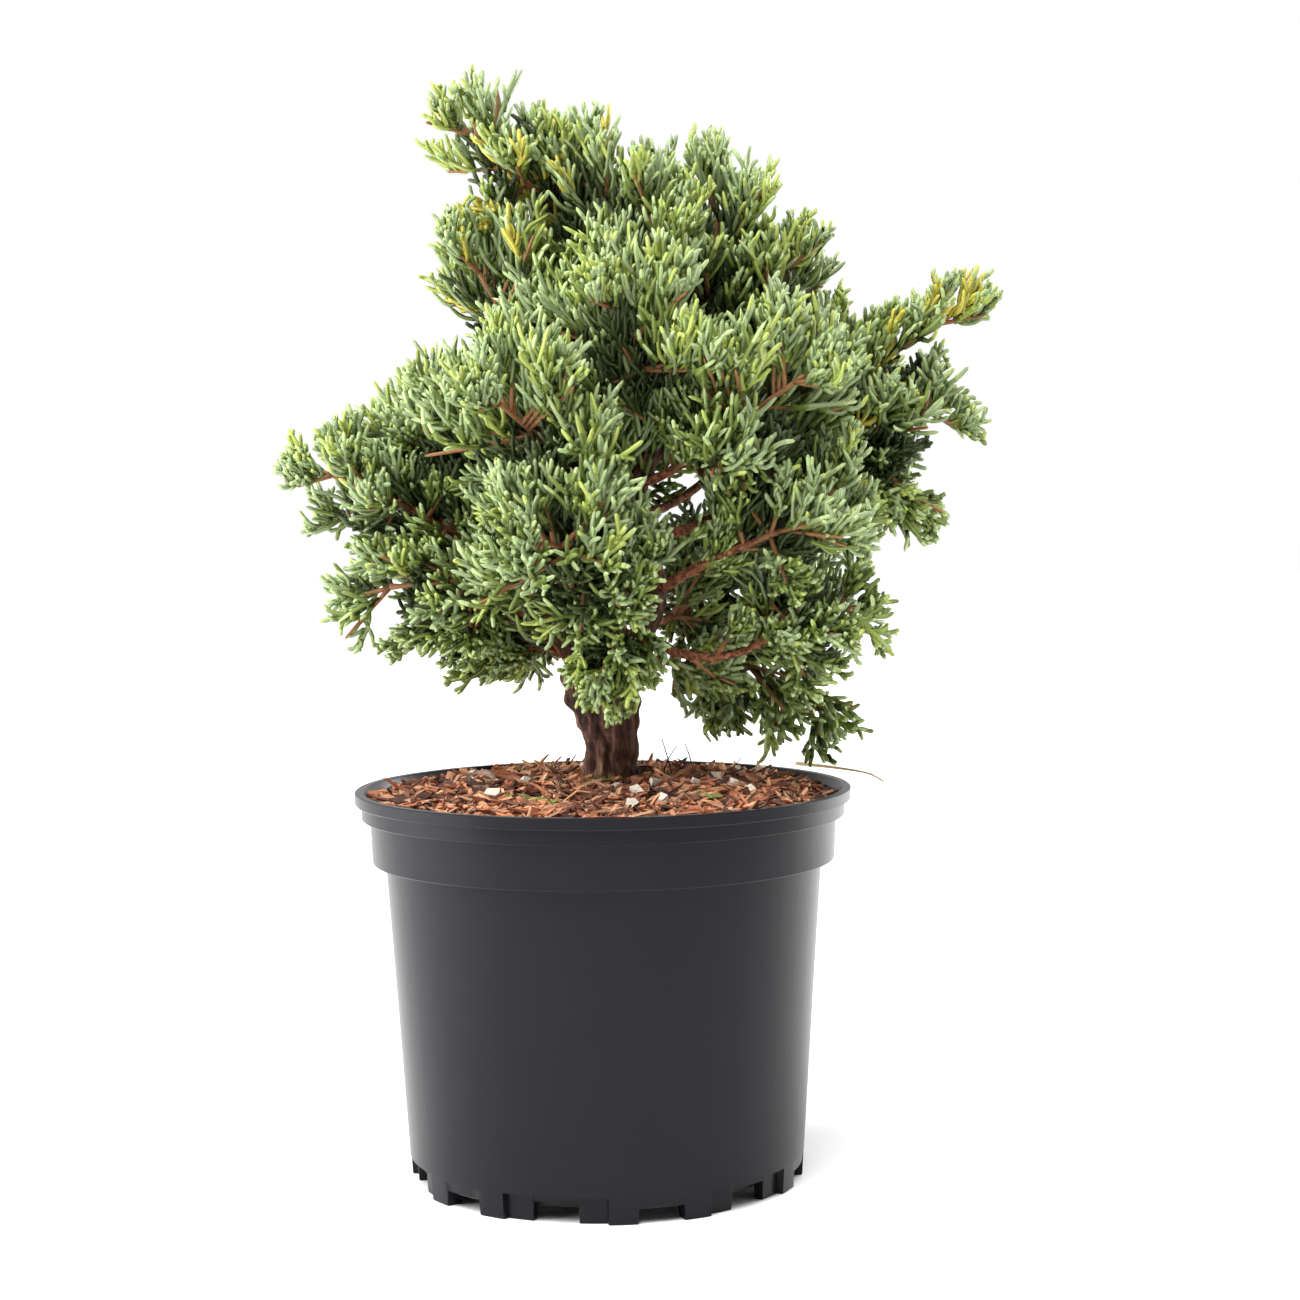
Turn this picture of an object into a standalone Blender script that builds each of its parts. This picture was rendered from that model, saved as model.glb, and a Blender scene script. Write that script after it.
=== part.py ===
"""A potted Chinese juniper: nursery pot, growing medium, forked trunk, boughs and masses of foliage.

Lengths are metres and +Z is up. The plant is worked out round the pot's own axis, with the ground
at z = 0, and at the end the whole of it is moved so that the origin is under the middle of its box.
The photograph looks along +Y, so -Y is the front, and +X is the right.
"""

import math

import bmesh
import bpy
import numpy as np
from mathutils import Matrix, Vector

MM = 0.001
FIT_GAP = 0.3 * MM  # clear space between two solids that touch in the real plant

# Pot: a three litre nursery container, 190 mm across and 150 mm high
RIM_RADIUS = 95 * MM
POT_HEIGHT = 150 * MM
LIP_DROP = 4.5 * MM  # height of the upper lip band
SECOND_LIP_RADIUS = 92.6 * MM
SECOND_LIP_BOTTOM = 139.8 * MM
COLLAR_TOP_RADIUS = 89.3 * MM
COLLAR_BOTTOM_RADIUS = 88.6 * MM
COLLAR_BOTTOM = 123 * MM
BODY_TOP_RADIUS = 83.6 * MM
BODY_BOTTOM_RADIUS = 75.5 * MM
WALL = 2.2 * MM
FLOOR_UNDERSIDE = 5 * MM
FLOOR_TOP = 7.5 * MM
FOOT_DEPTH = 6 * MM  # from the wall's outer face inwards
FOOT_COUNT = 12
GAP_WIDTH = 17.5 * MM  # between two feet
SHALLOW_GAP_TOP = 5.6 * MM
DRAIN_SLOT_TOP = 9.5 * MM
RECESS_DEPTH = 2.5 * MM  # of each foot's half beside a drain slot
POT_STEPS = 36

# Growing medium: bark mulch in a low mound
SOIL_EDGE_RADIUS = 87 * MM
SOIL_EDGE_HEIGHT = 142.5 * MM
MOUND_TOP = 152 * MM
MOUND_FLAT_RADIUS = 27 * MM  # level round the foot of the trunk
MOUND_POWER = 1.6  # how the mound steepens towards the wall
LUMP_HEIGHT = 1.3 * MM
SOIL_STEPS = 24

# Trunk: it widens from its foot to the fork, and is flatter front to back
TRUNK_ROUTE = [
    (3, 0, 152.3), (3, 0, 158), (3.5, 0, 168), (1.5, 0, 180), (0, 1, 190), (-0.5, 1, 198), (-0.5, 1, 203)
]
TRUNK_RADII = [10.5, 9.2, 9.4, 11.3, 13.2, 13.6, 8]
TRUNK_FLATNESS = 0.82
BURL_CENTRE = (16.5, 3, 158.6)
BURL_SIZE = (10, 8, 5.6)

# The two stems above the fork, as points that they pass through, in millimetres
LEFT_STEM_ROUTE = [
    (-5.5, 2, 189), (-15, 8, 214), (-19, 14, 231), (-15, 26, 268),
    (-3, 34, 311), (1, 30, 342), (-5, 22, 363), (-22, 14, 378),
]
RIGHT_STEM_ROUTE = [
    (6.5, -1, 189), (17, -6, 213), (21, -10, 227), (16, -13, 248),
    (15, -14, 269), (26, -14, 284), (35, -10, 305), (41, -4, 325),
]
LEFT_STEM_RADII = (5.3, 2.2)
RIGHT_STEM_RADII = (5.3, 1.7)

# Boughs: carrier, place along it from 0 to 1, tip, sag in the middle, base and tip radius, in millimetres
BOUGHS = {
    "ridge_bough": ("left_stem", 0.76, (8, 12, 357), -2, 1.9, 1.2),
    "upper_middle_bough": ("left_stem", 0.66, (19, 0, 338), 2, 1.8, 1.2),
    "upper_left_bough": ("left_stem", 0.60, (-22, 14, 318), -2, 2.0, 1.3),
    "left_middle_bough": ("left_stem", 0.42, (-34, 10, 280), 2, 2.2, 1.4),
    "left_arm": ("left_stem", 0.24, (-72, 0, 257), 3, 2.7, 1.4),
    "low_left_bough": ("left_stem", 0.13, (-44, -12, 226), 3, 2.9, 1.6),
    "left_skirt_bough": ("left_stem", 0.055, (-27, 8, 208), 2, 1.9, 1.2),
    "rear_top_bough": ("left_stem", 0.64, (12, 50, 330), 2, 2.1, 1.4),
    "rear_left_bough": ("left_stem", 0.34, (-36, 46, 262), 4, 2.4, 1.5),
    "rear_middle_bough": ("left_stem", 0.46, (4, 58, 280), 4, 2.4, 1.5),
    "rear_low_left_bough": ("left_stem", 0.19, (-24, 44, 224), 4, 2.4, 1.5),
    "low_right_bough": ("right_stem", 0.15, (66, -31, 211), 10, 2.6, 1.4),
    "middle_right_bough": ("right_stem", 0.27, (58, -39, 245), -1, 2.7, 1.6),
    "right_arm": ("right_stem", 0.40, (100, 4, 279), 3, 2.7, 1.4),
    "rear_right_bough": ("right_stem", 0.47, (54, 44, 278), 4, 2.4, 1.5),
    "rear_low_right_bough": ("right_stem", 0.19, (42, 40, 226), 5, 2.4, 1.5),
    "right_skirt_bough": ("right_stem", 0.10, (50, 25, 195), 3, 2.0, 1.3),
    "top_right_bough": ("right_stem", 0.75, (57, 0, 318), 2, 1.9, 1.3),
    "front_right_bough": ("right_stem", 0.55, (42, -34, 281), 2, 2.2, 1.4),
    "front_upper_bough": ("right_stem", 0.66, (17, -28, 304), -3, 1.9, 1.3),
    "front_left_bough": ("right_stem", 0.50, (-12, -32, 275), 2, 2.1, 1.4),
    "front_low_bough": ("right_stem", 0.23, (-2, -35, 235), 2, 2.1, 1.4),
    "front_skirt_bough": ("right_stem", 0.11, (8, -31, 213), 1, 1.6, 1.1),
    "shoulder_bough": ("right_arm", 0.52, (74, 10, 287), -2, 1.8, 1.3),
    "right_tip_bough": ("right_arm", 0.72, (96, 10, 299), -3, 1.5, 1.1),
    "right_droop_bough": ("right_arm", 0.80, (105, -4, 268), 2, 1.3, 1.0),
}

# Masses: limb that carries it, furthest tip, half width, side twigs, pull up or down, share of a core
MASSES = {
    "top_left_plume": ("left_stem", (-62, 4, 412), 27, 9, 0.25, 0.0),
    "ridge_mass": ("ridge_bough", (-24, 2, 399), 29, 7, 0.35, 0.85),
    "upper_middle_mass": ("upper_middle_bough", (16, -6, 388), 34, 7, 0.35, 0.85),
    "upper_left_mass": ("upper_left_bough", (-56, -2, 370), 33, 8, 0.15, 0.85),
    "left_middle_mass": ("left_middle_bough", (-86, 4, 286), 34, 8, 0.2, 0.85),
    "left_tip_mass": ("left_arm", (-119, 0, 277), 28, 8, 0.1, 0.0),
    "low_left_mass": ("low_left_bough", (-103, -4, 222), 29, 8, -0.1, 0.0),
    "left_skirt": ("left_skirt_bough", (-86, 10, 202), 16, 6, -0.25, 0.0),
    "rear_top_mass": ("rear_top_bough", (18, 84, 374), 42, 7, 0.3, 0.85),
    "rear_left_mass": ("rear_left_bough", (-84, 88, 292), 42, 7, 0.15, 0.85),
    "rear_middle_mass": ("rear_middle_bough", (6, 120, 300), 44, 7, 0.15, 0.85),
    "rear_low_left_mass": ("rear_low_left_bough", (-58, 92, 224), 36, 6, -0.2, 0.80),
    "low_right_mass": ("low_right_bough", (107, -24, 221), 31, 8, -0.1, 0.0),
    "middle_right_mass": ("middle_right_bough", (102, -32, 259), 33, 7, 0.1, 0.85),
    "right_arm_mass": ("right_arm", (143, 0, 298), 30, 7, 0.0, 0.75),
    "rear_right_mass": ("rear_right_bough", (100, 88, 310), 44, 7, 0.15, 0.85),
    "rear_low_right_mass": ("rear_low_right_bough", (86, 84, 228), 38, 6, -0.2, 0.80),
    "right_skirt": ("right_skirt_bough", (99, 25, 168), 26, 8, -0.4, 0.0),
    "top_right_mass": ("top_right_bough", (78, 0, 364), 34, 7, 0.3, 0.85),
    "right_shoulder": ("shoulder_bough", (112, 4, 324), 28, 7, 0.2, 0.80),
    "front_right_mass": ("front_right_bough", (88, -58, 314), 40, 8, 0.25, 0.85),
    "front_upper_mass": ("front_upper_bough", (0, -56, 344), 38, 8, 0.3, 0.85),
    "front_left_mass": ("front_left_bough", (-48, -70, 306), 40, 8, 0.25, 0.85),
    "front_low_mass": ("front_low_bough", (-30, -86, 248), 38, 8, 0.1, 0.80),
    "front_skirt": ("front_skirt_bough", (0, -56, 184), 18, 6, -0.45, 0.0),
    "right_tip": ("right_tip_bough", (153, 4, 339), 20, 7, 0.2, 0.0),
    "right_droop": ("right_droop_bough", (129, -6, 247), 14, 5, -0.35, 0.0),
    "top_centre_mass": ("right_stem", (46, 4, 393), 32, 7, 0.35, 0.85),
}

# The rule by which every mass branches
SEED = 41
STEM_SHARE = 0.72  # of the way to the mass's tip
BACK_SHARE = 0.3  # how far a mass's space reaches back past its stem's foot, as a share of its length
STEM_END_RADIUS = 0.8 * MM
TWIG_RADIUS = 1.1 * MM
TWIG_END_RADIUS = 0.7 * MM
SPRAY_LENGTH = 29 * MM
SPRAY_WIDTH = 10.5 * MM
SPRAY_FLATNESS = 0.72  # its thickness as a share of its width
SPRAY_WIDEST = 0.58  # of its length
ROOT_DEPTH = 3.2 * MM  # how far a spray is sunk behind its twig's axis
SIDE_SPRAYS = 0
OPEN_SIDE_SPRAYS = 1  # on a mass with no core
TIP_SPRAYS = 2
TIP_SPRAY_WIDTH = 5 * MM
MIN_SPRAY = 9 * MM
STEP = 1.5 * MM
CLEARANCE = 0.5 * MM  # a mass's skin to the edge of its space, or to a limb
TWIG_ROOM = 1.6 * MM  # a twig's axis to the same
CORE_TRIES = 20
GOLDEN_ANGLE = math.radians(137.508)
# Shares of a facet's three corners that give the points at which its room is tested
CORE_SAMPLES = np.array([(i, j, 12 - i - j) for i in range(13) for j in range(13 - i)]) / 12

COLOURS = {
    "pot": ((0.030, 0.031, 0.033), 0.38),
    "soil": ((0.155, 0.072, 0.040), 0.95),
    "bark": ((0.130, 0.062, 0.042), 0.90),
    "young_bark": ((0.290, 0.110, 0.055), 0.80),
    "foliage": ((0.125, 0.215, 0.095), 0.65),
}


def start_empty():
    """Removes what the scene holds, and gives the two collections and the empty that carries everything."""
    for old in list(bpy.data.objects):
        bpy.data.objects.remove(old)
    parts = bpy.data.collections.new("potted_juniper")
    cutters = bpy.data.collections.new("cutters")
    for made in (parts, cutters):
        bpy.context.scene.collection.children.link(made)
    root = bpy.data.objects.new("plant_root", None)
    parts.objects.link(root)
    return parts, cutters, root


PARTS, CUTTERS, ROOT = start_empty()


def material(name):
    """One finish, as a Principled BSDF with its colour and roughness."""
    found = bpy.data.materials.get(name)
    if found:
        return found
    colour, roughness = COLOURS[name]
    made = bpy.data.materials.new(name)
    made.use_nodes = True
    shader = made.node_tree.nodes["Principled BSDF"]
    shader.inputs["Base Color"].default_value = (*colour, 1)
    shader.inputs["Roughness"].default_value = roughness
    return made


def add_object(name, data, collection, finish=None):
    """An object on the given data, parented to the root."""
    made = bpy.data.objects.new(name, data)
    collection.objects.link(made)
    made.parent = ROOT
    if finish:
        data.materials.append(material(finish))
    return made


def as_cutter(made):
    made.hide_render = True
    made.display_type = "WIRE"
    return made


def mesh_from_bmesh(name, shape):
    mesh = bpy.data.meshes.new(name)
    shape.to_mesh(mesh)
    shape.free()
    return mesh


def evaluated_copy(source, name):
    """The mesh that an object shows, with doubled points welded; the object itself is removed."""
    bpy.context.view_layer.update()
    seen = source.evaluated_get(bpy.context.evaluated_depsgraph_get())
    mesh = bpy.data.meshes.new_from_object(seen)
    mesh.name = name
    shape = bmesh.new()
    shape.from_mesh(mesh)
    bmesh.ops.remove_doubles(shape, verts=shape.verts, dist=0.01 * MM)
    bmesh.ops.recalc_face_normals(shape, faces=shape.faces)
    shape.to_mesh(mesh)
    shape.free()
    bpy.data.objects.remove(source)
    return mesh


def tube_mesh(name, points, radii, resolution):
    """A tapering limb: a poly curve through the points, bevelled to each point's radius, made a mesh."""
    curve = bpy.data.curves.new(name, "CURVE")
    curve.dimensions = "3D"
    curve.bevel_depth = 1.0
    curve.bevel_resolution = resolution
    curve.use_fill_caps = True
    spline = curve.splines.new("POLY")
    spline.points.add(len(points) - 1)
    for place, point, radius in zip(spline.points, points, radii):
        place.co = (*point, 1)
        place.radius = radius
    guide = bpy.data.objects.new(name, curve)
    PARTS.objects.link(guide)
    mesh = evaluated_copy(guide, name)
    mesh.materials.clear()
    bpy.data.curves.remove(curve)
    return mesh


def turned_object(name, profile, steps, collection, finish):
    """A profile of (radius, height) points turned round the Z axis."""
    mesh = bpy.data.meshes.new(name)
    points = [(radius, 0, height) for radius, height in profile]
    mesh.from_pydata(points, [(i, i + 1) for i in range(len(points) - 1)], [])
    made = add_object(name, mesh, collection, finish)
    screw = made.modifiers.new("turn", "SCREW")
    screw.angle = 2 * math.pi
    screw.steps = screw.render_steps = steps
    screw.use_merge_vertices = True
    screw.merge_threshold = 0.05 * MM
    screw.use_smooth_shade = True
    return made


def smooth_route(points, per_span=2):
    """A curve through the points, Catmull and Rom's cubic, with the same number of steps in each span."""
    known = np.array(points, float) * MM
    known = np.vstack([2 * known[0] - known[1], known, 2 * known[-1] - known[-2]])
    route = []
    for i in range(1, len(known) - 2):
        a, b, c, d = known[i - 1 : i + 3]
        for t in np.arange(per_span) / per_span:
            bend = (2 * a - 5 * b + 4 * c - d) * t**2 + (3 * b - a - 3 * c + d) * t**3
            route.append(0.5 * (2 * b + (c - a) * t + bend))
    route.append(known[-2])
    return np.array(route)


def place_along(route, share):
    """The point that lies this share of the route's length from its start."""
    steps = np.linalg.norm(np.diff(route, axis=0), axis=1)
    reached = np.concatenate([[0], np.cumsum(steps)])
    return np.array([np.interp(share * reached[-1], reached, route[:, k]) for k in range(3)])


def bough_route(base, tip, sag, count=5):
    """A straight run from base to tip that sags by a parabola in its middle."""
    t = np.linspace(0, 1, count)[:, None]
    route = base + (tip - base) * t
    route[:, 2] -= (4 * sag * t * (1 - t))[:, 0]
    return route


def unit(vector):
    return vector / np.linalg.norm(vector)


def limbs():
    """Every stem and bough by name: its route and its radii."""
    made = {
        "left_stem": smooth_route(LEFT_STEM_ROUTE),
        "right_stem": smooth_route(RIGHT_STEM_ROUTE),
    }
    radii = {"left_stem": LEFT_STEM_RADII, "right_stem": RIGHT_STEM_RADII}
    for name, (carrier, share, tip, sag, base_radius, tip_radius) in BOUGHS.items():
        base = place_along(made[carrier], share)
        made[name] = bough_route(base, np.array(tip) * MM, sag * MM)
        radii[name] = (base_radius, tip_radius)
    return {name: (route, np.linspace(*radii[name], len(route)) * MM) for name, route in made.items()}


def make_pot():
    """The container: a turned shell with a stepped collar, cut between its feet."""
    inner_top = RIM_RADIUS - 3.5 * MM
    profile = [
        (0, FLOOR_TOP),
        (BODY_BOTTOM_RADIUS - WALL + 0.2 * MM, FLOOR_TOP),
        (BODY_TOP_RADIUS - WALL, COLLAR_BOTTOM - 1 * MM),
        (COLLAR_BOTTOM_RADIUS - WALL, COLLAR_BOTTOM + 1.5 * MM),
        (COLLAR_TOP_RADIUS - WALL, SECOND_LIP_BOTTOM - 1 * MM),
        (inner_top, POT_HEIGHT),
        (RIM_RADIUS, POT_HEIGHT),
        (RIM_RADIUS, POT_HEIGHT - LIP_DROP),
        (SECOND_LIP_RADIUS, POT_HEIGHT - LIP_DROP),
        (SECOND_LIP_RADIUS, SECOND_LIP_BOTTOM),
        (COLLAR_TOP_RADIUS, SECOND_LIP_BOTTOM),
        (COLLAR_BOTTOM_RADIUS, COLLAR_BOTTOM),
        (BODY_TOP_RADIUS, COLLAR_BOTTOM),
        (BODY_BOTTOM_RADIUS, 0),
        (BODY_BOTTOM_RADIUS - FOOT_DEPTH, 0),
        (BODY_BOTTOM_RADIUS - FOOT_DEPTH, FLOOR_UNDERSIDE),
        (0, FLOOR_UNDERSIDE),
    ]
    pot = turned_object("pot", profile, POT_STEPS, PARTS, "pot")
    slots = bpy.data.collections.new("foot_cutters")
    CUTTERS.children.link(slots)
    pitch = 2 * math.pi / FOOT_COUNT
    foot_half = 0.5 * (pitch * BODY_BOTTOM_RADIUS - GAP_WIDTH)
    for foot in range(FOOT_COUNT):
        drains_after = foot % 2
        gap_top = DRAIN_SLOT_TOP if drains_after else SHALLOW_GAP_TOP
        add_box(slots, (foot + 0.5) * pitch, 0, GAP_WIDTH, BODY_BOTTOM_RADIUS - 9 * MM, gap_top)
        side = 1 if drains_after else -1
        recess_start = BODY_BOTTOM_RADIUS - RECESS_DEPTH
        recess_width = foot_half + 1 * MM
        add_box(slots, foot * pitch, side * recess_width / 2, recess_width, recess_start, DRAIN_SLOT_TOP)
    cut = pot.modifiers.new("gaps between the feet", "BOOLEAN")
    cut.operation = "DIFFERENCE"
    cut.operand_type = "COLLECTION"
    cut.collection = slots


def add_box(collection, bearing, sideways, width, inner_radius, top):
    """A cutter at a bearing from the front, from an inner radius out past the wall, and up to a height."""
    outer_radius = BODY_BOTTOM_RADIUS + 6 * MM
    bottom = -3 * MM
    shape = bmesh.new()
    size = (width, outer_radius - inner_radius, top - bottom)
    middle = (sideways, -(inner_radius + outer_radius) / 2, (top + bottom) / 2)
    place = Matrix.Rotation(bearing, 4, "Z") @ Matrix.Translation(middle) @ Matrix.Diagonal((*size, 1))
    bmesh.ops.create_cube(shape, size=1, matrix=place)
    as_cutter(add_object("foot_cutter", mesh_from_bmesh("foot_cutter", shape), collection))


def make_soil():
    """The growing medium: it fills the pot a gap clear of the wall, and its mound is lumpy by a sum of waves."""
    inside = WALL + FIT_GAP + 0.2 * MM
    rings = [(SOIL_EDGE_RADIUS * (1 - k / 6) + MOUND_FLAT_RADIUS * k / 6) for k in range(7)]
    drop = MOUND_TOP - SOIL_EDGE_HEIGHT
    span = SOIL_EDGE_RADIUS - MOUND_FLAT_RADIUS
    mound = [
        (radius, MOUND_TOP - drop * ((radius - MOUND_FLAT_RADIUS) / span) ** MOUND_POWER) for radius in rings[:-1]
    ]
    profile = [
        (0, MOUND_TOP),
        (MOUND_FLAT_RADIUS, MOUND_TOP),
        *reversed(mound),
        (COLLAR_TOP_RADIUS - inside - 0.2 * MM, SECOND_LIP_BOTTOM - 2 * MM),
        (COLLAR_BOTTOM_RADIUS - inside, COLLAR_BOTTOM + 1.6 * MM),
        (BODY_TOP_RADIUS - inside, COLLAR_BOTTOM - 0.8 * MM),
        (BODY_BOTTOM_RADIUS - inside, FLOOR_TOP + FIT_GAP),
        (0, FLOOR_TOP + FIT_GAP),
    ]
    mesh = evaluated_copy(turned_object("soil_profile", profile, SOIL_STEPS, PARTS, None), "soil")
    points = np.empty(len(mesh.vertices) * 3)
    mesh.vertices.foreach_get("co", points)
    x, y, z = points.reshape(-1, 3).T
    radius = np.hypot(x, y)
    free = np.clip((radius - MOUND_FLAT_RADIUS) / (12 * MM), 0, 1)
    free *= np.clip((SOIL_EDGE_RADIUS - radius) / (4 * MM), 0, 1)
    lumps = np.sin(x / (9 * MM)) * np.cos(y / (7 * MM) + 1) + 0.6 * np.sin((x + 2 * y) / (11 * MM) + 2)
    z += np.where(z > SOIL_EDGE_HEIGHT - MM, LUMP_HEIGHT * free * lumps, 0)
    mesh.vertices.foreach_set("co", np.column_stack([x, y, z]).ravel())
    mesh.shade_smooth()
    mesh.set_sharp_from_angle(angle=math.radians(40))
    add_object("soil", mesh, PARTS, "soil")


def trunk_mesh(name, grown):
    """The trunk with every radius grown by the given amount, and its burl where wanted."""
    route = np.array(TRUNK_ROUTE, float) * MM
    radii = np.array(TRUNK_RADII) * MM + grown
    mesh = tube_mesh(name, route, radii, 3)
    points = np.empty(len(mesh.vertices) * 3)
    mesh.vertices.foreach_get("co", points)
    points = points.reshape(-1, 3)
    middle = np.interp(points[:, 2], route[:, 2], route[:, 1])
    points[:, 1] = middle + (points[:, 1] - middle) * TRUNK_FLATNESS
    mesh.vertices.foreach_set("co", points.ravel())
    return mesh


def make_trunk():
    """The trunk, from a flat cut on the soil to its fork, with the burl at its right fused on."""
    mesh = trunk_mesh("trunk", 0)
    mesh.shade_smooth()
    trunk = add_object("trunk", mesh, PARTS, "bark")
    shape = bmesh.new()
    place = Matrix.Translation(Vector(BURL_CENTRE) * MM) @ Matrix.Diagonal((*(Vector(BURL_SIZE) * MM), 1))
    bmesh.ops.create_icosphere(shape, subdivisions=2, radius=1, matrix=place)
    burl = as_cutter(add_object("burl", mesh_from_bmesh("burl", shape), CUTTERS))
    fuse = trunk.modifiers.new("burl", "BOOLEAN")
    fuse.operation = "UNION"
    fuse.object = burl


def make_limbs(known):
    """Stems and boughs, each cut to a saddle that stands a gap clear of the limb that carries it."""
    carriers = {"trunk": as_cutter(add_object("trunk_clearance", trunk_mesh("trunk_clearance", FIT_GAP), CUTTERS))}
    carried_by = {"left_stem": "trunk", "right_stem": "trunk"}
    carried_by.update({name: row[0] for name, row in BOUGHS.items()})
    for name in sorted(set(carried_by.values()) - {"trunk"}):
        route, radii = known[name]
        mesh = tube_mesh(f"{name}_clearance", route, radii + FIT_GAP, 2)
        carriers[name] = as_cutter(add_object(mesh.name, mesh, CUTTERS))
    for name, (route, radii) in known.items():
        is_stem = name.endswith("_stem")
        mesh = tube_mesh(name, route, radii, 2 if is_stem or name.endswith("_arm") else 1)
        mesh.shade_smooth()
        limb = add_object(name, mesh, PARTS, "bark" if is_stem else "young_bark")
        saddle = limb.modifiers.new("saddle", "BOOLEAN")
        saddle.operation = "DIFFERENCE"
        saddle.object = carriers[carried_by[name]]


class Growth:
    """The spaces of all the masses and what they must keep clear of, with the rule that fills them."""

    def __init__(self, known):
        self.names = list(MASSES)
        self.stems = {}
        centres, axes, lengths, widths = [], [], [], []
        for name, (carrier, tip, half_width, _, _, _) in MASSES.items():
            route, radii = known[carrier]
            end = unit(route[-1] - route[-2])
            start = route[-1] + end * FIT_GAP
            tip = np.array(tip) * MM
            self.stems[name] = self.stem(start, end, tip, radii[-1])
            back = start - (tip - start) * BACK_SHARE
            centres.append((back + tip) / 2)
            axes.append(unit(tip - start))
            lengths.append(np.linalg.norm(tip - back) / 2)
            widths.append(half_width * MM)
        self.centres, self.axes = np.array(centres), np.array(axes)
        self.lengths, self.widths = np.array(lengths), np.array(widths)
        chains = [(name, *limb) for name, limb in known.items()]
        chains += [(name, *stem) for name, stem in self.stems.items()]
        chains.append(("trunk", np.array(TRUNK_ROUTE, float) * MM, np.array(TRUNK_RADII) * MM))
        self.owners = np.concatenate([[name] * (len(route) - 1) for name, route, _ in chains])
        self.starts = np.concatenate([route[:-1] for _, route, _ in chains])
        self.ends = np.concatenate([route[1:] for _, route, _ in chains])
        self.thick = np.concatenate([np.maximum(radii[:-1], radii[1:]) for _, _, radii in chains])

    def stem(self, start, heading, tip, radius):
        """A mass's stem: it leaves its limb straight on and bends towards the mass's tip."""
        reach = np.linalg.norm(tip - start)
        bend = start + heading * reach * 0.3
        t = np.linspace(0, STEM_SHARE, 4)[:, None]
        route = (1 - t) ** 2 * start + 2 * t * (1 - t) * bend + t**2 * tip
        return route, np.linspace(radius, STEM_END_RADIUS, 4)

    def depth(self, points):
        """For each mass and point, 0 at the middle of the mass's ellipsoid and 1 at its surface."""
        away = points[None] - self.centres[:, None]
        along = np.einsum("mpk,mk->mp", away, self.axes)
        across = np.maximum((away**2).sum(-1) - along**2, 0)
        return np.sqrt((along / self.lengths[:, None]) ** 2 + across / self.widths[:, None] ** 2)

    def limb_distance(self, name, points):
        """The distance from each point to the nearest limb or stem that isn't the mass's own stem."""
        others = self.owners != name
        a, b, thick = self.starts[others], self.ends[others], self.thick[others]
        run = b - a
        share = np.einsum("psk,sk->ps", points[:, None] - a[None], run) / (run**2).sum(-1)
        nearest = a[None] + np.clip(share, 0, 1)[..., None] * run[None]
        return (np.linalg.norm(points[:, None] - nearest, axis=-1) - thick[None]).min(1)

    def free(self, name, points, needed):
        """Whether each point is in the mass's own space, with the needed room to neighbours and limbs."""
        index = self.names.index(name)
        depth = self.depth(points)
        slope = 1 / self.widths[index] + 1 / self.widths
        room = (depth - depth[index]) / slope[:, None]
        room[index] = 1
        return (depth[index] <= 1) & (room.min(0) > needed) & (self.limb_distance(name, points) > needed)

    def reach(self, name, start, heading):
        """How far a twig can go from a point before the room ends."""
        far = np.arange(1, 60) * STEP
        clear = self.free(name, start + far[:, None] * heading, TWIG_ROOM)
        return far[-1] if clear.all() else far[clear.argmin()] - STEP

    def fitted(self, name, place, aim, far, turn):
        """The spray as (place, aim, length, width, turn), narrowed and then shortened until its skin is clear."""
        for width, share in ((1, 1), (0.75, 1), (0.75, 0.85), (0.55, 0.85), (0.55, 0.7), (0.4, 0.7)):
            spray = (place, aim, far * share, width * SPRAY_WIDTH, turn)
            ring, tip = spray_points(*spray)
            along = np.linspace(0, 1, 5)[:, None, None]
            skin = (ring + (tip - ring) * along).reshape(-1, 3)
            if far * share >= MIN_SPRAY and self.free(name, skin, CLEARANCE).all():
                return spray
        return None

    def grow(self, name):
        """The mass's twigs and sprays: twigs leave the stem towards even directions, and each ends in a fan."""
        _, tip, _, twig_count, pull, core = MASSES[name]
        side_sprays = SIDE_SPRAYS if core else OPEN_SIDE_SPRAYS
        index = self.names.index(name)
        draw = np.random.default_rng(SEED + index)
        stem, _ = self.stems[name]
        side = unit(np.cross(self.axes[index], (0.3, 0.2, 1)))
        up = np.cross(side, self.axes[index])
        twigs, sprays = [], []
        for k in range(twig_count):
            forward = 0.95 - 1.75 * halton(k + 1, 2)
            round_angle = k * GOLDEN_ANGLE + draw.uniform(-0.3, 0.3)
            across = math.sqrt(1 - forward**2)
            out = self.widths[index] * across * (math.cos(round_angle) * side + math.sin(round_angle) * up)
            target = self.centres[index] + self.lengths[index] * forward * self.axes[index] + out
            share = np.clip((forward + 1) / 2 - 0.35 * across, 0.12, STEM_SHARE) / STEM_SHARE
            root = place_along(stem, share)
            heading = unit(unit(target - root) + (0, 0, pull * 0.5))
            far = self.reach(name, root, heading)
            if far < MIN_SPRAY:
                continue
            end = root + heading * max(far - 0.8 * SPRAY_LENGTH, 0.3 * far)
            twigs.append((root, end))
            sprays += self.fan(name, root, end, heading, pull, draw, side_sprays)
        sprays += self.fan(name, stem[-2], stem[-1], unit(stem[-1] - stem[-2]), pull, draw, TIP_SPRAYS)
        last = np.array(tip) * MM - stem[-1]
        sprays.append((stem[-1], unit(last), np.linalg.norm(last), TIP_SPRAY_WIDTH, 0.0))
        return twigs, sprays

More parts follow.
